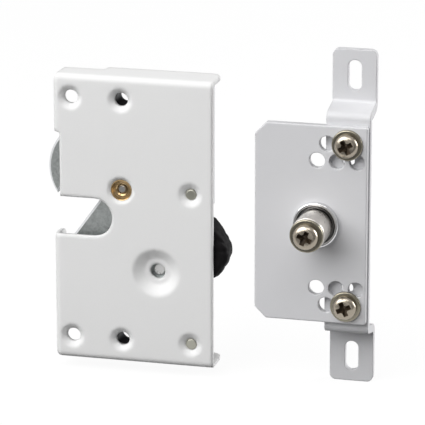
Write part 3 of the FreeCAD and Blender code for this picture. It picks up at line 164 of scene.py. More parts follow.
class StageSettings(PropertyGroup):
    """Camera, lamps and floor."""

    azimuth: turn("Azimuth", "Camera's turn round the lock", 14.649)
    elevation: turn("Elevation", "Camera's height angle", 15.895)
    distance: length("Distance", "Camera to aim point", 1.1624, 10.0)
    lens: FloatProperty(name="Lens", description="Focal length on a 36 mm sensor", default=281.44, min=10,
                        unit="CAMERA")
    aim: FloatVectorProperty(name="Aim point", description="Point that the camera looks at",
                             default=(0.02502, 0.0, 0.00143), size=3, subtype="TRANSLATION", unit="LENGTH")
    world_light: FloatProperty(name="Surrounding light", description="Light from the side of the sky",
                               default=0.24, min=0)
    world_low: FloatProperty(name="Light from below", description="Light from the side of the floor",
                             default=0.03, min=0)
    key_light: power("Key lamp", "Power of the lamp at the upper left", 26.6)
    fill_light: power("Fill lamp", "Power of the lamp in front", 0.9)
    edge_light: power("Upper lamp", "Power of the lamp above the striker", 0.2)
    side_light: power("Side lamp", "Power of the lamp behind at the right", 17.0)
    floor_colour: colour("Floor", "Light that the floor throws back", (0.08, 0.08, 0.08))
    floor_white: share("Floor white", "Share of the floor that shows no shadow", 0.93)


def finish():
    return bpy.context.scene.bolt_lock_finish


def shape():
    return bpy.context.scene.bolt_lock_shape


def stage():
    return bpy.context.scene.bolt_lock_stage


# Node trees

def node(tree, kind, inputs=None, **values):
    """A node with its settings and, where given, its inputs set or linked."""
    made = tree.nodes.new(kind)
    for name, value in values.items():
        setattr(made, name, value)
    for name, value in (inputs or {}).items():
        if isinstance(value, bpy.types.NodeSocket):
            tree.links.new(value, made.inputs[name])
        else:
            made.inputs[name].default_value = value
    return made


def effect(name, inputs, outputs):
    """An empty node group with its named inputs and outputs."""
    group = bpy.data.node_groups.new(name, "ShaderNodeTree")
    for label, kind, default in inputs:
        socket = group.interface.new_socket(name=label, in_out="INPUT", socket_type="NodeSocket" + kind)
        if default is not None:
            socket.default_value = default
    for label, kind in outputs:
        group.interface.new_socket(name=label, in_out="OUTPUT", socket_type="NodeSocket" + kind)
    return group, group.nodes.new("NodeGroupInput").outputs, group.nodes.new("NodeGroupOutput").inputs


def ramp(tree, value, start, end, low=0.0, high=1.0):
    """A value moved from the range start to end into the range low to high, and held there."""
    return node(tree, "ShaderNodeMapRange", {"Value": value, "From Min": start, "From Max": end,
                                             "To Min": low, "To Max": high}).outputs["Result"]


def ranged(tree, value, low, high):
    """A 0 to 1 value moved into a range."""
    return ramp(tree, value, 0.0, 1.0, low, high)


def math_node(tree, operation, first, second):
    return node(tree, "ShaderNodeMath", {0: first, 1: second}, operation=operation).outputs[0]


def tinted(tree, colour_in, amount):
    """A colour made lighter or darker by an amount."""
    return node(tree, "ShaderNodeVectorMath", {0: colour_in, "Scale": amount}, operation="SCALE").outputs[0]


def noise_on(tree, place, scale, detail, **more):
    """A noise texture; more holds its other inputs."""
    inputs = {"Vector": place, "Scale": scale, "Detail": detail, **more}
    return node(tree, "ShaderNodeTexNoise", inputs).outputs["Fac"]


def coat_effect():
    """Powder coat: fine ripple, faint speckle and soft smudges."""
    group, inside, outside = effect(
        "powder_coat_skin",
        [("Coordinates", "Vector", None), ("Colour", "Color", (0.8, 0.8, 0.8, 1)), ("Speckle", "Float", 0.03),
         ("Smudges", "Float", 0.04), ("Roughness", "Float", 0.38)],
        [("Colour", "Color"), ("Roughness", "Float"), ("Height", "Float")])
    place = inside["Coordinates"]
    ripple = noise_on(group, place, 850.0, 2.0)
    speckle = noise_on(group, place, 4200.0, 1.0)
    smudge = noise_on(group, place, 55.0, 4.0, Roughness=0.6)
    low_speckle = math_node(group, "SUBTRACT", 1.0, inside["Speckle"])
    high_speckle = math_node(group, "ADD", 1.0, inside["Speckle"])
    light = ranged(group, speckle, low_speckle, high_speckle)
    smudges_and_chamfer_highlight = ranged(group, smudge, math_node(group, "SUBTRACT", 1.0, inside["Smudges"]), 1.0)
    level = math_node(group, "MULTIPLY", light, smudges_and_chamfer_highlight)
    dull = math_node(group, "ADD", inside["Roughness"], 0.09)
    group.links.new(tinted(group, inside["Colour"], level), outside["Colour"])
    group.links.new(ranged(group, smudge, inside["Roughness"], dull), outside["Roughness"])
    group.links.new(ripple, outside["Height"])
    return group


WHITE = (1, 1, 1, 1)
# Pale zinc of the painted highlight on chamfers.
CHAMFER_HIGHLIGHT_ZINC = (0.66, 0.67, 0.68, 1)
MIX_FIRST, MIX_SECOND, MIX_RESULT = 6, 7, 2  # colour sockets of a mix node


def spangle_effect():
    """Zinc plating: lighter and darker patches, fine scratches and, where asked for, chamfers lightened with
    a painted highlight.
    """
    group, inside, outside = effect(
        "zinc_spangle",
        [("Coordinates", "Vector", None), ("Colour", "Color", (0.5, 0.5, 0.5, 1)),
         ("Patches", "Float", 300.0), ("Contrast", "Float", 0.3), ("Roughness", "Float", 0.35),
         ("Painted Chamfer Highlight", "Float", 0.0)],
        [("Colour", "Color"), ("Roughness", "Float"), ("Height", "Float")])
    place = inside["Coordinates"]
    cloud = noise_on(group, place, inside["Patches"], 5.0, Roughness=0.65, Distortion=0.6)
    stretch = node(group, "ShaderNodeMapping", {"Vector": place, "Scale": (1.0, 1.0, 9.0)})
    scratch = noise_on(group, stretch.outputs["Vector"], 900.0, 2.0)
    spread = ramp(group, cloud, 0.3, 0.7)
    low = math_node(group, "SUBTRACT", 1.0, inside["Contrast"])
    high = math_node(group, "ADD", 1.0, inside["Contrast"])
    level = ranged(group, spread, low, high)
    line = ranged(group, scratch, 0.93, 1.05)
    plated = tinted(group, inside["Colour"], math_node(group, "MULTIPLY", level, line))
    # Chamfers, faces that slope away from the front, are mixed towards the pale zinc: a painted highlight.
    facing = node(group, "ShaderNodeTexCoord").outputs["Normal"]
    forward = node(group, "ShaderNodeSeparateXYZ", {"Vector": facing}).outputs["Y"]
    front = math_node(group, "ABSOLUTE", forward, 0.0)
    sloping = ramp(group, front, 0.3, 0.5)
    not_flat = ramp(group, front, 0.86, 0.96, 1.0, 0.0)
    chamfer = math_node(group, "MULTIPLY", sloping, not_flat)
    chamfer = math_node(group, "MULTIPLY", chamfer, inside["Painted Chamfer Highlight"])
    smudges_and_chamfer_highlight = node(group, "ShaderNodeMix", {"Factor": chamfer, MIX_FIRST: plated, MIX_SECOND: CHAMFER_HIGHLIGHT_ZINC},
                data_type="RGBA")
    dull = math_node(group, "ADD", inside["Roughness"], 0.16)
    group.links.new(smudges_and_chamfer_highlight.outputs[MIX_RESULT], outside["Colour"])
    group.links.new(ranged(group, spread, dull, inside["Roughness"]), outside["Roughness"])
    group.links.new(math_node(group, "ADD", scratch, cloud), outside["Height"])
    return group


def lathe_effect():
    """Turned metal: fine tool rings about a piece's axis, faint stains and, within a radius, painted shade
    that darkens the colour.
    """
    group, inside, outside = effect(
        "lathe_rings",
        [("Coordinates", "Vector", None), ("Colour", "Color", (0.5, 0.5, 0.5, 1)),
         ("Rings", "Float", 1600.0), ("Stain", "Float", 0.12), ("Roughness", "Float", 0.22),
         ("Painted Shade Radius", "Float", 0.0)],
        [("Colour", "Color"), ("Roughness", "Float"), ("Height", "Float")])
    place = inside["Coordinates"]
    flat = node(group, "ShaderNodeMapping", {"Vector": place, "Scale": (1.0, 0.0, 1.0)}).outputs["Vector"]
    radius = node(group, "ShaderNodeVectorMath", {0: flat}, operation="LENGTH").outputs["Value"]
    outside_painted_shade = math_node(group, "GREATER_THAN", radius, inside["Painted Shade Radius"])
    wave = {"Vector": place, "Scale": inside["Rings"], "Detail": 1.0, "Detail Scale": 0.4}
    rings = node(group, "ShaderNodeTexWave", {**wave, "Distortion": 1.5}, wave_type="RINGS",
                 rings_direction="Y").outputs["Fac"]
    bands = node(group, "ShaderNodeTexWave", {**wave, "Distortion": 1.2}, wave_type="BANDS",
                 bands_direction="Y").outputs["Fac"]
    stain = noise_on(group, place, 420.0, 4.0, Roughness=0.6)
    tool = math_node(group, "MULTIPLY", math_node(group, "ADD", rings, bands), 0.5)
    level = ranged(group, stain, math_node(group, "SUBTRACT", 1.0, inside["Stain"]), 1.0)
    line = ranged(group, tool, 0.94, 1.03)
    # Within the radius the colour falls to 0.22 of itself: painted shade on a dished floor.
    level = math_node(group, "MULTIPLY", level, ranged(group, outside_painted_shade, 0.22, 1.0))
    level = math_node(group, "MULTIPLY", level, line)
    dull = math_node(group, "ADD", inside["Roughness"], 0.14)
    group.links.new(tinted(group, inside["Colour"], level), outside["Colour"])
    group.links.new(ranged(group, stain, inside["Roughness"], dull), outside["Roughness"])
    group.links.new(tool, outside["Height"])
    return group


def moulded_effect():
    """Moulded or rubbery skin: pebbled grain with a little dust."""
    group, inside, outside = effect(
        "moulded_grain",
        [("Coordinates", "Vector", None), ("Colour", "Color", (0.03, 0.03, 0.03, 1)),
         ("Grain", "Float", 2500.0), ("Dust", "Float", 0.3), ("Roughness", "Float", 0.5)],
        [("Colour", "Color"), ("Roughness", "Float"), ("Height", "Float")])
    place = inside["Coordinates"]
    cells = node(group, "ShaderNodeTexVoronoi", {"Vector": place, "Scale": inside["Grain"]})
    grain = cells.outputs["Distance"]
    dust = noise_on(group, place, 260.0, 5.0, Roughness=0.7)
    low = math_node(group, "SUBTRACT", 1.0, inside["Dust"])
    high = math_node(group, "ADD", 1.0, inside["Dust"])
    dull = math_node(group, "ADD", inside["Roughness"], 0.2)
    group.links.new(tinted(group, inside["Colour"], ranged(group, dust, low, high)), outside["Colour"])
    group.links.new(ranged(group, dust, inside["Roughness"], dull), outside["Roughness"])
    group.links.new(math_node(group, "ADD", grain, dust), outside["Height"])
    return group


EFFECTS = {"coat": coat_effect, "spangle": spangle_effect, "lathe": lathe_effect,
           "moulded": moulded_effect}
made_effects = {}
COAT_ROUGH = 0.25
BEVEL_SAMPLES = 6


def dressed(name, kind, base, values, bump, centre=(0, 0, 0), metallic=0.0, coat=0.0,
            specular=0.5, height=0.00001, soften=0.0):
    """A material of one effect on Object coordinates; soften is how far its edges are rounded in shading."""
    if name in bpy.data.materials:
        return bpy.data.materials[name]
    if kind not in made_effects:
        made_effects[kind] = EFFECTS[kind]()
    material = bpy.data.materials.new(name)
    material.use_nodes = True
    tree = material.node_tree
    shader = tree.nodes["Principled BSDF"]
    for label, value in (("Metallic", metallic), ("Coat Weight", coat), ("Coat Roughness", COAT_ROUGH),
                         ("Specular IOR Level", specular)):
        shader.inputs[label].default_value = value
    place = node(tree, "ShaderNodeTexCoord").outputs["Object"]
    move = node(tree, "ShaderNodeMapping", {"Vector": place, "Location": [-v for v in centre]})
    skin = tree.nodes.new("ShaderNodeGroup")
    skin.node_tree = made_effects[kind]
    skin.inputs["Colour"].default_value = (*base, 1)
    for label, value in values.items():
        skin.inputs[label].default_value = value
    tree.links.new(move.outputs["Vector"], skin.inputs["Coordinates"])
    tree.links.new(skin.outputs["Colour"], shader.inputs["Base Color"])
    tree.links.new(skin.outputs["Roughness"], shader.inputs["Roughness"])
    relief = node(tree, "ShaderNodeBump", {"Strength": bump, "Distance": height,
                                           "Height": skin.outputs["Height"]})
    if soften:
        rounded = node(tree, "ShaderNodeBevel", {"Radius": soften}, samples=BEVEL_SAMPLES)
        tree.links.new(rounded.outputs["Normal"], relief.inputs["Normal"])
    tree.links.new(relief.outputs["Normal"], shader.inputs["Normal"])
    material.diffuse_color = (*base, 1)
    return material


def case_coat():
    return dressed("case_powder_coat", "coat", finish().case_coat, {"Roughness": 0.34, "Smudges": 0.03},
                   0.5, height=finish().peel, soften=finish().case_round, specular=0.15)


def striker_coat():
    return dressed("striker_powder_coat", "coat", finish().striker_coat,
                   {"Roughness": 0.36, "Smudges": 0.05}, 0.5, height=finish().peel,
                   soften=finish().striker_round, specular=0.35)


def zinc_sheet():
    return dressed("zinc_sheet", "spangle", finish().zinc,
                   {"Patches": 260.0, "Contrast": 0.16, "Roughness": 0.42}, 0.25, metallic=1.0)


def fork_zinc():
    return dressed("fork_mottled_zinc", "spangle", finish().fork_zinc,
                   # Full painted highlight on the chamfers of the fork and pawl.
                   {"Patches": 620.0, "Contrast": 0.3, "Roughness": 0.34, "Painted Chamfer Highlight": 1.0}, 0.3,
                   metallic=1.0)


def turned_steel(about, base=None, values=None, soften=0.0):
    return dressed("turned_steel_" + about, "lathe", base or finish().steel, values or {}, 0.2,
                   centre=middle(about), metallic=1.0, soften=soften)


def spring_wire():
    return dressed("drawn_spring_wire", "spangle", finish().spring,
                   {"Patches": 700.0, "Contrast": 0.12, "Roughness": 0.25}, 0.15, metallic=1.0)


def bush_brass():
    return dressed("bush_turned_brass", "lathe", finish().brass, {"Stain": 0.35, "Roughness": 0.15}, 0.2,
                   centre=middle("fork_bush"), metallic=1.0)


def warm_nickel(about, centre, base=None):
    return dressed("warm_nickel_" + about, "lathe", base or finish().nickel,
                   {"Stain": 0.3, "Roughness": 0.18}, 0.15, centre=centre, metallic=1.0)


# Material of the recess faces: painted shade in a near-black brown.
def recess_painted_shade():
    return dressed("recess_painted_shade", "moulded", finish().recess, {"Roughness": 0.4, "Dust": 0.5}, 0.3,
                   metallic=0.4)


def pin_chrome():
    """Bright rim; the dished floor inside it is darkened with painted shade."""
    return dressed("pin_bright_plating", "lathe", finish().chrome,
                   # Inside 6.8 mm the flange's dished floor gets the painted shade.
                   {"Stain": 0.1, "Roughness": 0.07, "Painted Shade Radius": 0.0068}, 0.08,
                   centre=middle("pin_flange"), metallic=1.0)


def pin_satin():
    return dressed("pin_satin_steel", "lathe", finish().satin, {"Stain": 0.2, "Roughness": 0.22}, 0.08,
                   centre=middle("pin_roller"), metallic=1.0)


def coil_copper():
    return dressed("enamelled_copper", "spangle", finish().copper,
                   {"Patches": 900.0, "Contrast": 0.1, "Roughness": 0.2}, 0.1, metallic=1.0, coat=0.5)


def bobbin_plastic():
    return dressed("bobbin_plastic", "moulded", finish().bobbin, {}, 0.2)


def lead_sleeve(name, base):
    return dressed(name, "moulded", base, {"Grain": 5000.0, "Roughness": 0.35, "Dust": 0.15}, 0.1)


def boot_rubber():
    return dressed("boot_rubber", "moulded", finish().boot,
                   {"Grain": 3200.0, "Roughness": 0.48, "Dust": 0.5}, 0.4, specular=0.05, height=0.00004)


def repaint(names, material):
    """Gives CAD nodes a finish through their objects' material slots."""
    for name in names:
        for slot in NODES[name].material_slots:
            slot.material = material


# Meshes

MERGE = 1e-7  # vertices nearer than this are one


def once(items):
    """A list with each item once."""
    return list(dict.fromkeys(items))


def settle(bm, name, materials, body, replaces=(), smooth_angle=35, stretch=None):
    """Closes a bmesh into an object that rides on its body; when stretch is given, it is left unparented with
    its transform baked in, and the parts and points in stretch are not used.
    """
    bmesh.ops.remove_doubles(bm, verts=bm.verts, dist=MERGE)
    bmesh.ops.recalc_face_normals(bm, faces=bm.faces)
    limit = math.radians(smooth_angle)
    for face in bm.faces:
        face.smooth = True
    for edge in bm.edges:
        if len(edge.link_faces) == 2 and edge.calc_face_angle(0) > limit:
            edge.smooth = False
    mesh = bpy.data.meshes.new(name)
    bm.to_mesh(mesh)
    bm.free()
    for material in materials:
        mesh.materials.append(material)
    made = bpy.data.objects.new(name, mesh)
    bpy.context.scene.collection.objects.link(made)
    if stretch:
        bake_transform(made)
    else:
        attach(made, body)
    if replaces:
        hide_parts(*replaces)
    return made


def spun(bm, profile, centre, axis, side, steps):
    """Turns a profile of (radius, length along the axis) about the axis through centre; returns its faces."""
    axis, side = Vector(axis).normalized(), Vector(side).normalized()
    verts = [bm.verts.new(centre + side * r + axis * along) for r, along in profile]
    edges = [bm.edges.new(pair) for pair in zip(verts, verts[1:])]
    before = set(bm.faces)
    bmesh.ops.spin(bm, geom=verts + edges, cent=centre, axis=axis, dvec=(0, 0, 0), angle=2 * math.pi,
                   steps=steps, use_merge=True)
    bmesh.ops.remove_doubles(bm, verts=bm.verts, dist=MERGE)
    return [f for f in bm.faces if f not in before]


def wire_ring(bm, centre, heading, radius, sides=10):
    """A ring of vertices square to a wire's heading; returns its edges."""
    turn_to = Vector((0, 0, 1)).rotation_difference(Vector(heading)).to_matrix().to_4x4()
    made = bmesh.ops.create_circle(bm, cap_ends=False, segments=sides, radius=radius,
                                   matrix=Matrix.Translation(centre) @ turn_to)
    return once(e for v in made["verts"] for e in v.link_edges)


def run_on(bm, ring, move):
    """Extrudes a ring of edges along a straight run."""
    made = bmesh.ops.extrude_edge_only(bm, edges=ring)["geom"]
    verts = [g for g in made if isinstance(g, bmesh.types.BMVert)]
    bmesh.ops.translate(bm, verts=verts, vec=move)
    return [g for g in made if isinstance(g, bmesh.types.BMEdge) and all(v in verts for v in g.verts)]


def wind(bm, ring, centre, axis, angle, climb, steps):
    """Spins a ring of edges about an axis with a climb along it."""
    geom = ring + once(v for e in ring for v in e.verts)
    made = bmesh.ops.spin(bm, geom=geom, cent=centre, axis=axis, dvec=Vector(axis) * (climb / steps),
                          angle=angle, steps=steps, use_merge=False)["geom_last"]
    return [g for g in made if isinstance(g, bmesh.types.BMEdge)]


def cap(bm, ring):
    bmesh.ops.contextual_create(bm, geom=ring)


# Cross-recess screws

RECESS_REACH = 0.0029  # how far below the top of the dome its faces are cut
ROUND_MIDDLE = 1.75  # half the width of the recess's round middle, in half widths of an arm
RECESS_MOUTH = (0.00022, 0.93)  # depth of the soft mouth and how much it narrows
RECESS_STEPS = ((0.55, 0.8), (0.45, 0.42))  # parts of the depth and how much each narrows


def cross_recess(bm, faces, centre, out, turned):
    """Sinks a cross into a dome: the dome is cut along the arms, and the cross is pressed in and narrowed."""
    s = shape()
    a, r, deep = s.cross_half, s.cross_reach, s.cross_deep
    across = (Matrix.Rotation(turned, 3, out) @ Vector((1, 0, 0))).normalized()
    up = out.cross(across)
    near = [f for f in faces if (f.calc_center_median() - centre).dot(out) > -RECESS_REACH]
    diagonal = (across + up).normalized()
    other = (across - up).normalized()
    wide = a * ROUND_MIDDLE
    cuts = [(d, o) for d in (across, up) for o in (-r, -a, a, r)]
    cuts += [(d, o) for d in (diagonal, other) for o in (-wide, wide)]
    for direction, offset in cuts:
        live = [f for f in near if f.is_valid]
        geom = live + once(e for f in live for e in f.edges) + once(v for f in live for v in f.verts)
        made = bmesh.ops.bisect_plane(bm, geom=geom, dist=MERGE, plane_co=centre + direction * offset,
                                      plane_no=direction)
        near = once(g for g in made["geom"] if isinstance(g, bmesh.types.BMFace))

    def inside(face):
        point = face.calc_center_median() - centre
        x, y = abs(point.dot(across)), abs(point.dot(up))
        slant = max(abs(point.dot(diagonal)), abs(point.dot(other)))
        return (x < a and y < r) or (y < a and x < r) or (slant < wide and max(x, y) < r)

    chosen = [f for f in near if f.is_valid and inside(f)]
    for push, shrink in (RECESS_MOUTH,) + tuple((deep * part, narrow) for part, narrow in RECESS_STEPS):
        made = bmesh.ops.extrude_face_region(bm, geom=chosen)["geom"]
        bmesh.ops.delete(bm, geom=chosen, context="FACES_KEEP_BOUNDARY")
        verts = [g for g in made if isinstance(g, bmesh.types.BMVert)]
        chosen = [g for g in made if isinstance(g, bmesh.types.BMFace)]
        bmesh.ops.translate(bm, verts=verts, vec=-out * push)
        basis = Matrix((across, up, out)).transposed().to_4x4()
        space = (Matrix.Translation(centre) @ basis).inverted()
        bmesh.ops.scale(bm, verts=verts, vec=(shrink, shrink, 1.0), space=space)
        for vert in verts:
            for face in vert.link_faces:
                # Recess faces take the second material slot, the painted shade.
                face.material_index = 1


OUT = Vector((0, -1, 0))  # the way that every screw and the bush face
SIDE = Vector((1, 0, 0))  # the side of its axis that a turned profile is drawn on
UNDERSIDE = 0.55  # where a head's underside begins, in radii
RIM_BEVEL = (0.0002, 0.00015)  # bevel of a head's lower rim, across and up
BRIM = 0.34  # upright side of a head, in heights of its dome
CURVE_WIDE, CURVE_HIGH = 0.5, 0.6  # round part of a dome, in radii and in heights
DOME_STEPS = 9
CROWN = ((0.38, 0.975), (0.2, 0.995))  # nearly flat top, in radii and in heights
THREAD_STEPS = 40
THREAD_END, THREAD_ROOT = 0.72, 0.86  # tip and root of a thread, in radii
THREAD_COLLAR = 0.0001
ADJUST_THREAD, PIN_THREAD = (0.00245, 0.0008), (0.0019, 0.0007)  # radius and pitch


def pan_head(bm, seat, radius, dome, turned):
    """A domed head with its cross recess; seat is the centre of its underside."""
    bevel_across, bevel_up = RIM_BEVEL
    profile = [(radius * UNDERSIDE, 0.0), (radius - bevel_across, 0.0), (radius, bevel_up),
               (radius, dome * BRIM)]
    for step in range(1, DOME_STEPS):
        angle = math.radians(90 * step / DOME_STEPS)
        profile.append((radius - (radius * CURVE_WIDE) * (1 - math.cos(angle)),
                        dome * BRIM + dome * CURVE_HIGH * math.sin(angle)))
    profile += [(radius * across, dome * high) for across, high in CROWN] + [(0.0, dome)]
    faces = spun(bm, profile, seat, OUT, SIDE, shape().ring_steps)
    cross_recess(bm, faces, seat + OUT * dome, OUT, turned)


def thread(bm, start, size, length_to):
    """A threaded shank from a seat, away from the head."""
    radius, pitch = size
    profile = [(0.0, -length_to), (radius * THREAD_END, -length_to)]
    for i in range(int(length_to / pitch)):
        base = -length_to + pitch * (i + 0.25)
        profile += [(radius, base), (radius * THREAD_ROOT, base + pitch / 2)]
    profile += [(radius, -THREAD_COLLAR), (radius, 0.0), (0.0, 0.0)]
    spun(bm, profile, start, OUT, SIDE, THREAD_STEPS)


# Operators, one for each group of pieces

class BOLTLOCK_OT_case(Operator):
    """Coat the case and finish the plate, posts and spacers inside it."""

    bl_idname = "bolt_lock.case"
    bl_label = "Case"

    def execute(self, context):
        repaint(["front_shell"], case_coat())
        repaint(["rear_plate"], zinc_sheet())
        soft_ends = 0.0008
        repaint(["shell_posts"],
                turned_steel("shell_posts", finish().post_steel, {"Roughness": 0.3}, soft_ends))
        # The spacers take the near-black painted shade, so the holes in front of them look dark.
        repaint(["screw_spacers"], turned_steel("screw_spacers", finish().spacer_painted_shade, {"Roughness": 0.4}))
        return {"FINISHED"}


class BOLTLOCK_OT_fork(Operator):
    """Finish the fork and its bearing, and wind its spring."""

    bl_idname = "bolt_lock.fork"
    bl_label = "Fork"

    def execute(self, context):
        repaint(["fork"], fork_zinc())
        for name in ("fork_axle", "fork_front_spacer", "fork_rear_spacer", "fork_stop"):
            repaint([name], turned_steel(name))
        self.bush()
        self.spring()
        return {"FINISHED"}

    def bush(self):
        """The bush with the turned steps of its bowl; radii and depths are from the lip."""
        low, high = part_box("fork_bush")
        pivot, flare = middle("fork_bush"), (high.x - low.x) / 2
        lip = Vector((pivot.x, low.y, pivot.z))
        bore, mouth, barrel, back = 0.0015, 0.0018, 0.003, low.y - high.y
        floor, wall, tread, rise = -0.00235, 0.0008, 0.00018, 0.00003
        edge, slant, neck = 0.00008, 0.00003, 0.0008
        bm = bmesh.new()
        profile = [(bore, back), (bore, floor), (mouth, floor), (mouth, floor + wall)]
        radius, depth = mouth, floor + wall
        for riser, climb in ((0.00048, 0.0004), (0.00038, 0.00048), (0.00034, 0.0005)):
            profile += [(radius + riser, depth + climb), (radius + riser + tread, depth + climb + rise)]
            radius, depth = profile[-1]
        profile += [(flare - edge, 0.0), (flare, -edge), (flare - slant, -2 * edge), (barrel, -neck),
                    (barrel, back), (bore, back)]
        spun(bm, profile, lip, OUT, SIDE, shape().ring_steps)
        settle(bm, "fork_bush_turned", [bush_brass()], "case", ("fork_bush",), smooth_angle=28)

    def spring(self):
        """One leg hooks into the fork, the turns run back round the bush, the other leg bears on the stop."""
        pivot = middle("fork_bush")
        radius, wire, turns, bend = 0.0047, 0.0004, 2.25, 0.00096
        off_stud, off_fork, past_stud = 0.0001, 0.00015, 0.0003
        turn_steps, bend_steps = 48, 8
        stop = middle("fork_stop") - pivot
        reach = math.hypot(stop.x, stop.z)
        stud = size_of("fork_stop").x / 2
        leg_turn = math.atan2(stop.z, stop.x) - math.acos((radius - stud - wire - off_stud) / reach)
        first = leg_turn - 2 * math.pi * turns
        front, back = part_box("fork")[0].y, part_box("fork")[1].y
        depth = back + wire + off_fork
        pitch = (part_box("fork_spring")[1].y - wire - depth) / turns
        place = Vector((pivot.x + radius * math.cos(first), depth, pivot.z + radius * math.sin(first)))
        heading = Vector((-math.sin(first), 0, math.cos(first)))
        bm = bmesh.new()
        hook = place - heading * bend - Vector((0, bend, 0))
        ring = wire_ring(bm, Vector((hook.x, (front + back) / 2, hook.z)), (0, 1, 0), wire)
        cap(bm, ring)
        ring = run_on(bm, ring, Vector((0, hook.y - (front + back) / 2, 0)))
        corner = place - Vector((0, bend, 0))
        axis = Vector((0, 1, 0)).cross(heading)
        ring = wind(bm, ring, corner, axis, math.pi / 2, 0.0, bend_steps)
        ring = wind(bm, ring, Vector((pivot.x, depth, pivot.z)), Vector((0, -1, 0)), 2 * math.pi * turns,
                    -pitch * turns, int(turn_steps * turns))
        final = Vector((-math.sin(leg_turn), 0, math.cos(leg_turn)))
        ring = run_on(bm, ring, final * (reach + past_stud))
        cap(bm, ring)
        settle(bm, "fork_torsion_spring", [spring_wire()], "case", ("fork_spring",),
               smooth_angle=60, stretch=("fork", "case", (pivot.x, back, pivot.z),
                                         (pivot.x, depth + pitch * turns, pivot.z)))


class BOLTLOCK_OT_pawl(Operator):
    """Finish the pawl, its axle and the tail pin."""

    bl_idname = "bolt_lock.pawl"
    bl_label = "Pawl"

    def execute(self, context):
        repaint(["pawl"], fork_zinc())
        repaint(["pawl_axle"], turned_steel("pawl_axle", finish().axle_steel))
        repaint(["tail_pin"], turned_steel("tail_pin"))
        return {"FINISHED"}


class BOLTLOCK_OT_solenoid(Operator):
    """Finish the solenoid and linkage, wind the coil and plunger spring, and lay the leads."""

    bl_idname = "bolt_lock.solenoid"
    bl_label = "Solenoid"

    def execute(self, context):
        repaint(["solenoid_yoke", "plunger_link"], zinc_sheet())
        repaint(["coil_bobbin"], bobbin_plastic())
        for name in ("solenoid_core", "plunger", "link_pin"):
            repaint([name], turned_steel(name))
        repaint(["plunger_clip"], spring_wire())
        repaint(["solenoid_screws"], warm_nickel("yoke_screws", middle("solenoid_screws")))
        self.coil()
        self.spring()
        self.leads()
        return {"FINISHED"}

    def coil(self):
        low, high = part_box("coil_winding")
        mid, wire = (low + high) / 2, shape().coil_wire / 2
        outer, bore, gap = (high.x - low.x) / 2, 0.00265, 0.00005
        core_steps, turn_steps, spacing = 48, 36, 2.02
        core = outer - 2 * wire
        bottom, top = low.z + gap, high.z - gap
        bm = bmesh.new()
        spun(bm, [(bore, bottom), (core, bottom), (core, top), (bore, top), (bore, bottom)],
             Vector((mid.x, mid.y, 0)), (0, 0, 1), SIDE, core_steps)
        turns = int((top - bottom - 2 * wire) / (spacing * wire))
        ring = wire_ring(bm, Vector((mid.x + outer - wire, mid.y, bottom + wire)), (0, 1, 0), wire, 8)
        cap(bm, ring)
        ring = wind(bm, ring, Vector((mid.x, mid.y, 0)), Vector((0, 0, 1)), 2 * math.pi * turns,
                    top - bottom - 2 * wire, turn_steps * turns)
        cap(bm, ring)
        settle(bm, "coil_turns", [coil_copper()], "case", ("coil_winding",), smooth_angle=60)

    def spring(self):
        low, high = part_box("plunger_spring")
        mid, wire, turns, turn_steps = (low + high) / 2, 0.0002, 3, 40
        radius = (high.x - low.x) / 2 - wire
        bm = bmesh.new()
        ring = wire_ring(bm, Vector((mid.x + radius, mid.y, low.z + wire)), (0, 1, 0), wire, 8)
        cap(bm, ring)
        ring = wind(bm, ring, Vector((mid.x, mid.y, 0)), Vector((0, 0, 1)), 2 * math.pi * turns,
                    high.z - low.z - 2 * wire, turn_steps * turns)
        cap(bm, ring)
        settle(bm, "plunger_coil_spring", [spring_wire()], "case", ("plunger_spring",),
               smooth_angle=60, stretch=("plunger", "case", (mid.x, mid.y, low.z), (mid.x, mid.y, high.z)))

    def leads(self):
        low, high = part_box("coil_leads")
        radius, bend, corner, sides, steps = 0.0005, 0.003, 0.0027, 14, 8
        reach = bend * math.tan(math.radians(22.5))
        slope = Vector((1, 0, -1)).normalized() * (corner * math.sqrt(2) - 2 * reach)
        backward, eighth = Vector((0, 1, 0)), math.radians(45)
        red = lead_sleeve("lead_red", finish().lead_red)
        black = lead_sleeve("lead_black", finish().lead_black)
        for name, side, paint in (("lead_first", low.y + radius, red),
                                  ("lead_second", high.y - radius, black)):
            bm = bmesh.new()
            start = Vector((low.x, side, high.z - radius))
            drop, fall = high.x - radius, start.z - corner - reach
            ring = wire_ring(bm, start, SIDE, radius, sides)
            cap(bm, ring)
            ring = run_on(bm, ring, Vector((drop - corner - reach - start.x, 0, 0)))
            first = Vector((drop - corner - reach, side, start.z - bend))
            ring = wind(bm, ring, first, backward, eighth, 0.0, steps)
            ring = run_on(bm, ring, slope)
            ring = wind(bm, ring, Vector((drop - bend, side, fall)), backward, eighth, 0.0, steps)
            ring = run_on(bm, ring, Vector((0, 0, low.z - fall)))
            cap(bm, ring)
            settle(bm, name, [paint], "case",
                   ("coil_leads",) if name == "lead_first" else (), smooth_angle=60)


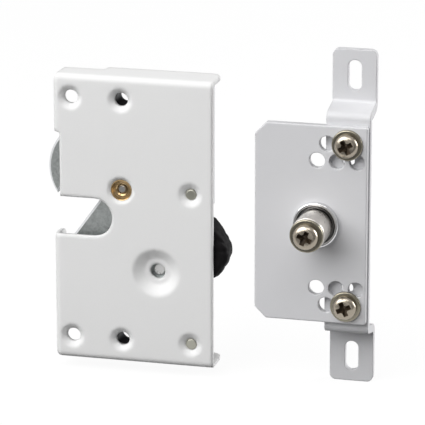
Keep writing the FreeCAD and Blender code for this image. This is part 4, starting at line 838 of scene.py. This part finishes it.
class BOLTLOCK_OT_boot(Operator):
    """Mould the soft boot where the leads leave the case."""

    bl_idname = "bolt_lock.boot"
    bl_label = "Lead boot"

    def execute(self, context):
        bm = bmesh.new()
        self.block(bm)
        self.fold(bm)
        settle(bm, "lead_boot_soft", [boot_rubber()], "case", ("lead_boot",), smooth_angle=70)
        return {"FINISHED"}

    def block(self, bm):
        """The boot's outline pulled to its depth; outline is in widths past the case and in heights down."""
        low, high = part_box("lead_boot")
        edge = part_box("front_shell")[1].x
        inset, under, above = 0.0003, 0.0015, 0.0006
        wide, tall = high.x - inset - edge, high.z - low.z
        outline = ((-0.03, 0.995), (0.16, 0.955), (0.51, 0.82), (0.78, 0.675), (0.86, 0.535), (0.81, 0.48),
                   (0.66, 0.397), (0.46, 0.307), (0.25, 0.243), (-0.07, 0.128), (-0.3, 0.057))
        corners = [(low.x, low.z + under)]
        corners += [(edge + wide * across, high.z - tall * down) for across, down in outline]
        corners += [(low.x, high.z - above)]
        face = bm.faces.new([bm.verts.new((x, low.y, z)) for x, z in corners])
        made = bmesh.ops.extrude_face_region(bm, geom=[face])["geom"]
        bmesh.ops.translate(bm, verts=[g for g in made if isinstance(g, bmesh.types.BMVert)],
                            vec=(0, high.y - low.y, 0))
        bmesh.ops.recalc_face_normals(bm, faces=bm.faces)

    def fold(self, bm):
        """Rounds the block, cuts it finely and sinks creases and ripples into it."""
        rounding, longest, flat = 0.0022, 0.0011, 1e-6
        crease_scale, crease_narrow, ripple_scale, ripple_share = (90, 160, 230), 3.2, 700, 0.25
        rims = [e for e in bm.edges if abs(e.verts[0].co.y - e.verts[1].co.y) < flat]
        bmesh.ops.bevel(bm, geom=rims, offset=rounding, segments=4, profile=0.5, affect="EDGES", material=-1)
        bmesh.ops.triangulate(bm, faces=bm.faces)
        for _ in range(3):
            long = [e for e in bm.edges if e.calc_length() > longest]
            if not long:
                break
            bmesh.ops.subdivide_edges(bm, edges=long, cuts=1, use_grid_fill=True)
            bmesh.ops.triangulate(bm, faces=bm.faces)
        for _ in range(2):
            bmesh.ops.smooth_vert(bm, verts=bm.verts, factor=0.5, use_axis_x=True, use_axis_y=True,
                                  use_axis_z=True)
        bm.normal_update()
        moves = []
        for vert in bm.verts:
            crease = 1 - abs(noise.noise(vert.co * Vector(crease_scale))) * crease_narrow
            ripple = noise.noise(vert.co * ripple_scale)
            moves.append(-vert.normal * shape().boot_fold * (max(crease, 0) + ripple_share * (ripple + 1)))
        for vert, move in zip(bm.verts, moves):
            vert.co += move


class BOLTLOCK_OT_striker(Operator):
    """Coat the striker and make its adjusting screws."""

    bl_idname = "bolt_lock.striker"
    bl_label = "Striker"

    def execute(self, context):
        repaint(["striker_plate", "striker_base"], striker_coat())
        repaint(["adjust_washers"], warm_nickel("washers", middle("adjust_washers"), finish().washer_nickel))
        low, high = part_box("adjust_screws")
        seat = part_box("adjust_washers")[0].y
        radius = (high.x - low.x) / 2
        x = (low.x + high.x) / 2
        s = shape()
        for name, z, turned in (("adjust_screw_upper", high.z - radius, s.upper_turn),
                                ("adjust_screw_lower", low.z + radius, s.lower_turn)):
            bm = bmesh.new()
            place = Vector((x, seat, z))
            pan_head(bm, place, radius, seat - low.y, turned)
            thread(bm, place, ADJUST_THREAD, high.y - seat)
            nickel = warm_nickel(name, place)
            settle(bm, name, [nickel, recess_painted_shade()], "case",
                   ("adjust_screws",) if name == "adjust_screw_upper" else (), smooth_angle=32)
        return {"FINISHED"}


class BOLTLOCK_OT_pin(Operator):
    """Finish the striker pin and make its screw."""

    bl_idname = "bolt_lock.pin"
    bl_label = "Striker pin"

    def execute(self, context):
        repaint(["pin_flange"], pin_chrome())
        repaint(["pin_roller"], pin_satin())
        repaint(["pin_stud"], turned_steel("pin_stud"))
        repaint(["pin_washer"], warm_nickel("pin_washer", middle("pin_washer"), finish().washer_nickel))
        low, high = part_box("pin_screw")
        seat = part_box("pin_washer")[0].y
        place = Vector(((low.x + high.x) / 2, seat, (low.z + high.z) / 2))
        past_head = 0.00025
        bm = bmesh.new()
        pan_head(bm, place, (high.x - low.x) / 2 - past_head, seat - low.y, shape().pin_turn)
        thread(bm, place, PIN_THREAD, high.y - seat)
        settle(bm, "pin_cap_screw", [warm_nickel("pin_screw", place), recess_painted_shade()], "case",
               ("pin_screw",), smooth_angle=32)
        return {"FINISHED"}


class BOLTLOCK_OT_stage(Operator):
    """Lay the floor, set the soft lamps and place the camera."""

    bl_idname = "bolt_lock.stage"
    bl_label = "Stage"

    def execute(self, context):
        self.floor()
        self.surroundings()
        self.lamps()
        self.camera(context)
        return {"FINISHED"}

    def floor(self):
        """A pale floor; it ends just in front of the part, so that metal sees the darker room there."""
        half_wide, half_deep, front = 4, 3, -0.12
        place = Matrix.Translation((0, front + half_deep, CAD_BOX[0][2]))
        bm = bmesh.new()
        bmesh.ops.create_grid(bm, x_segments=8, y_segments=8, size=1.0,
                              matrix=place @ Matrix.Diagonal((half_wide, half_deep, 1, 1)))
        mesh = bpy.data.meshes.new("floor")
        bm.to_mesh(mesh)
        bm.free()
        floor = bpy.data.objects.new("floor", mesh)
        bpy.context.scene.collection.objects.link(floor)
        material = bpy.data.materials.new("pale_floor")
        material.use_nodes = True
        tree = material.node_tree
        tree.nodes.clear()
        path = node(tree, "ShaderNodeLightPath").outputs
        seen = math_node(tree, "MAXIMUM", path["Is Camera Ray"], path["Is Glossy Ray"])
        seen = math_node(tree, "MAXIMUM", seen, path["Is Transmission Ray"])
        matt = node(tree, "ShaderNodeBsdfDiffuse", {"Color": (*stage().floor_colour, 1)}).outputs[0]
        pale = node(tree, "ShaderNodeBsdfDiffuse", {"Color": WHITE}).outputs[0]
        plain = node(tree, "ShaderNodeEmission", {"Color": WHITE, "Strength": 1.0}).outputs[0]
        shadowed = node(tree, "ShaderNodeMixShader", {0: stage().floor_white, 1: pale, 2: plain}).outputs[0]
        mixed = node(tree, "ShaderNodeMixShader", {0: seen, 1: matt, 2: shadowed}).outputs[0]
        node(tree, "ShaderNodeOutputMaterial", {"Surface": mixed})
        mesh.materials.append(material)

    def surroundings(self):
        """A world that lights from above; metal sees it as a room with a bright side and a dark front."""
        front_level, side_level = 0.36, 0.95
        behind_level, away_level = 0.12, 0.2
        window = (-0.55, 0.0, 0.83)
        world = bpy.data.worlds.new("soft_studio")
        bpy.context.scene.world = world
        world.use_nodes = True
        tree = world.node_tree
        tree.nodes.clear()
        path = node(tree, "ShaderNodeLightPath").outputs
        direction = node(tree, "ShaderNodeTexCoord").outputs["Generated"]
        parts = node(tree, "ShaderNodeSeparateXYZ", {"Vector": direction}).outputs
        seen_in_metal = ramp(tree, parts["Y"], -0.95, 0.0, front_level, side_level)
        behind = ramp(tree, parts["Y"], 0.25, 0.7, 1.0, behind_level)
        lean = node(tree, "ShaderNodeVectorMath", {0: direction, 1: window}, operation="DOT_PRODUCT")
        lit = ramp(tree, lean.outputs["Value"], -0.8, 0.3, away_level, 1.0)
        seen_in_metal = math_node(tree, "MULTIPLY", math_node(tree, "MULTIPLY", seen_in_metal, behind), lit)
        upper = ramp(tree, parts["Z"], -0.5, 0.9, stage().world_low, stage().world_light)
        seen = math_node(tree, "MAXIMUM", path["Is Camera Ray"], path["Is Transmission Ray"])
        soft = node(tree, "ShaderNodeBackground", {"Color": WHITE, "Strength": upper}).outputs[0]
        mirror = node(tree, "ShaderNodeBackground", {"Color": WHITE, "Strength": seen_in_metal}).outputs[0]
        plain = node(tree, "ShaderNodeBackground", {"Color": WHITE, "Strength": 1.0}).outputs[0]
        metal = path["Is Glossy Ray"]
        lighting = node(tree, "ShaderNodeMixShader", {0: metal, 1: soft, 2: mirror}).outputs[0]
        shown = node(tree, "ShaderNodeMixShader", {0: seen, 1: lighting, 2: plain}).outputs[0]
        node(tree, "ShaderNodeOutputWorld", {"Surface": shown})

    def lamps(self):
        s = stage()
        aim = Vector(s.aim)
        for name, place, wide, watts in (("key_lamp", (-0.58, -0.8, 0.84), 1.6, s.key_light),
                                         ("fill_lamp", (0.4, -1.2, 0.0), 0.9, s.fill_light),
                                         ("upper_lamp", (0.16, -0.22, 0.34), 0.16, s.edge_light),
                                         ("side_lamp", (1.1, 0.65, 0.36), 0.8, s.side_light)):
            data = bpy.data.lights.new(name, "AREA")
            data.shape = "DISK"
            data.size = wide
            data.energy = watts
            lamp = bpy.data.objects.new(name, data)
            lamp.location = place
            lamp.rotation_euler = (aim - Vector(place)).to_track_quat("-Z", "Y").to_euler()
            bpy.context.scene.collection.objects.link(lamp)

    def camera(self, context):
        s = stage()
        data = bpy.data.cameras.new("camera")
        data.sensor_width = 36.0
        data.lens = s.lens
        data.clip_start = 0.01
        data.clip_end = 50.0
        camera = bpy.data.objects.new("camera", data)
        sa, ca = math.sin(s.azimuth), math.cos(s.azimuth)
        se, ce = math.sin(s.elevation), math.cos(s.elevation)
        ahead = Vector((-sa * ce, ca * ce, -se))
        camera.location = Vector(s.aim) - ahead * s.distance
        camera.rotation_euler = ahead.to_track_quat("-Z", "Y").to_euler()
        bpy.context.scene.collection.objects.link(camera)
        context.scene.camera = camera


class BOLTLOCK_PT_panel(Panel):
    """Lists the lock's settings and the steps that build it."""

    bl_idname = "BOLTLOCK_PT_panel"
    bl_label = "Electric bolt lock"
    bl_space_type = "VIEW_3D"
    bl_region_type = "UI"
    bl_category = "Bolt Lock"

    def draw(self, context):
        for group in (context.scene.bolt_lock_finish, context.scene.bolt_lock_shape,
                      context.scene.bolt_lock_stage):
            box = self.layout.box()
            for name in group.bl_rna.properties.keys():
                if name not in ("rna_type", "name"):
                    box.prop(group, name)
        for step in STEPS:
            self.layout.operator(step.bl_idname)


STEPS = (BOLTLOCK_OT_case, BOLTLOCK_OT_fork, BOLTLOCK_OT_pawl, BOLTLOCK_OT_solenoid, BOLTLOCK_OT_boot,
         BOLTLOCK_OT_striker, BOLTLOCK_OT_pin, BOLTLOCK_OT_stage)
CLASSES = (FinishSettings, ShapeSettings, StageSettings) + STEPS + (BOLTLOCK_PT_panel,)


def register():
    for item in CLASSES:
        bpy.utils.register_class(item)
    bpy.types.Scene.bolt_lock_finish = PointerProperty(type=FinishSettings)
    bpy.types.Scene.bolt_lock_shape = PointerProperty(type=ShapeSettings)
    bpy.types.Scene.bolt_lock_stage = PointerProperty(type=StageSettings)


def unregister():
    for name in ("bolt_lock_finish", "bolt_lock_shape", "bolt_lock_stage"):
        delattr(bpy.types.Scene, name)
    for item in reversed(CLASSES):
        bpy.utils.unregister_class(item)


def main():
    register()
    bpy.context.scene.view_settings.view_transform = "Standard"
    bpy.ops.bolt_lock.case()
    bpy.ops.bolt_lock.fork()
    bpy.ops.bolt_lock.pawl()
    bpy.ops.bolt_lock.solenoid()
    bpy.ops.bolt_lock.boot()
    bpy.ops.bolt_lock.striker()
    bpy.ops.bolt_lock.pin()
    bpy.ops.bolt_lock.stage()


if __name__ == "__main__":
    main()
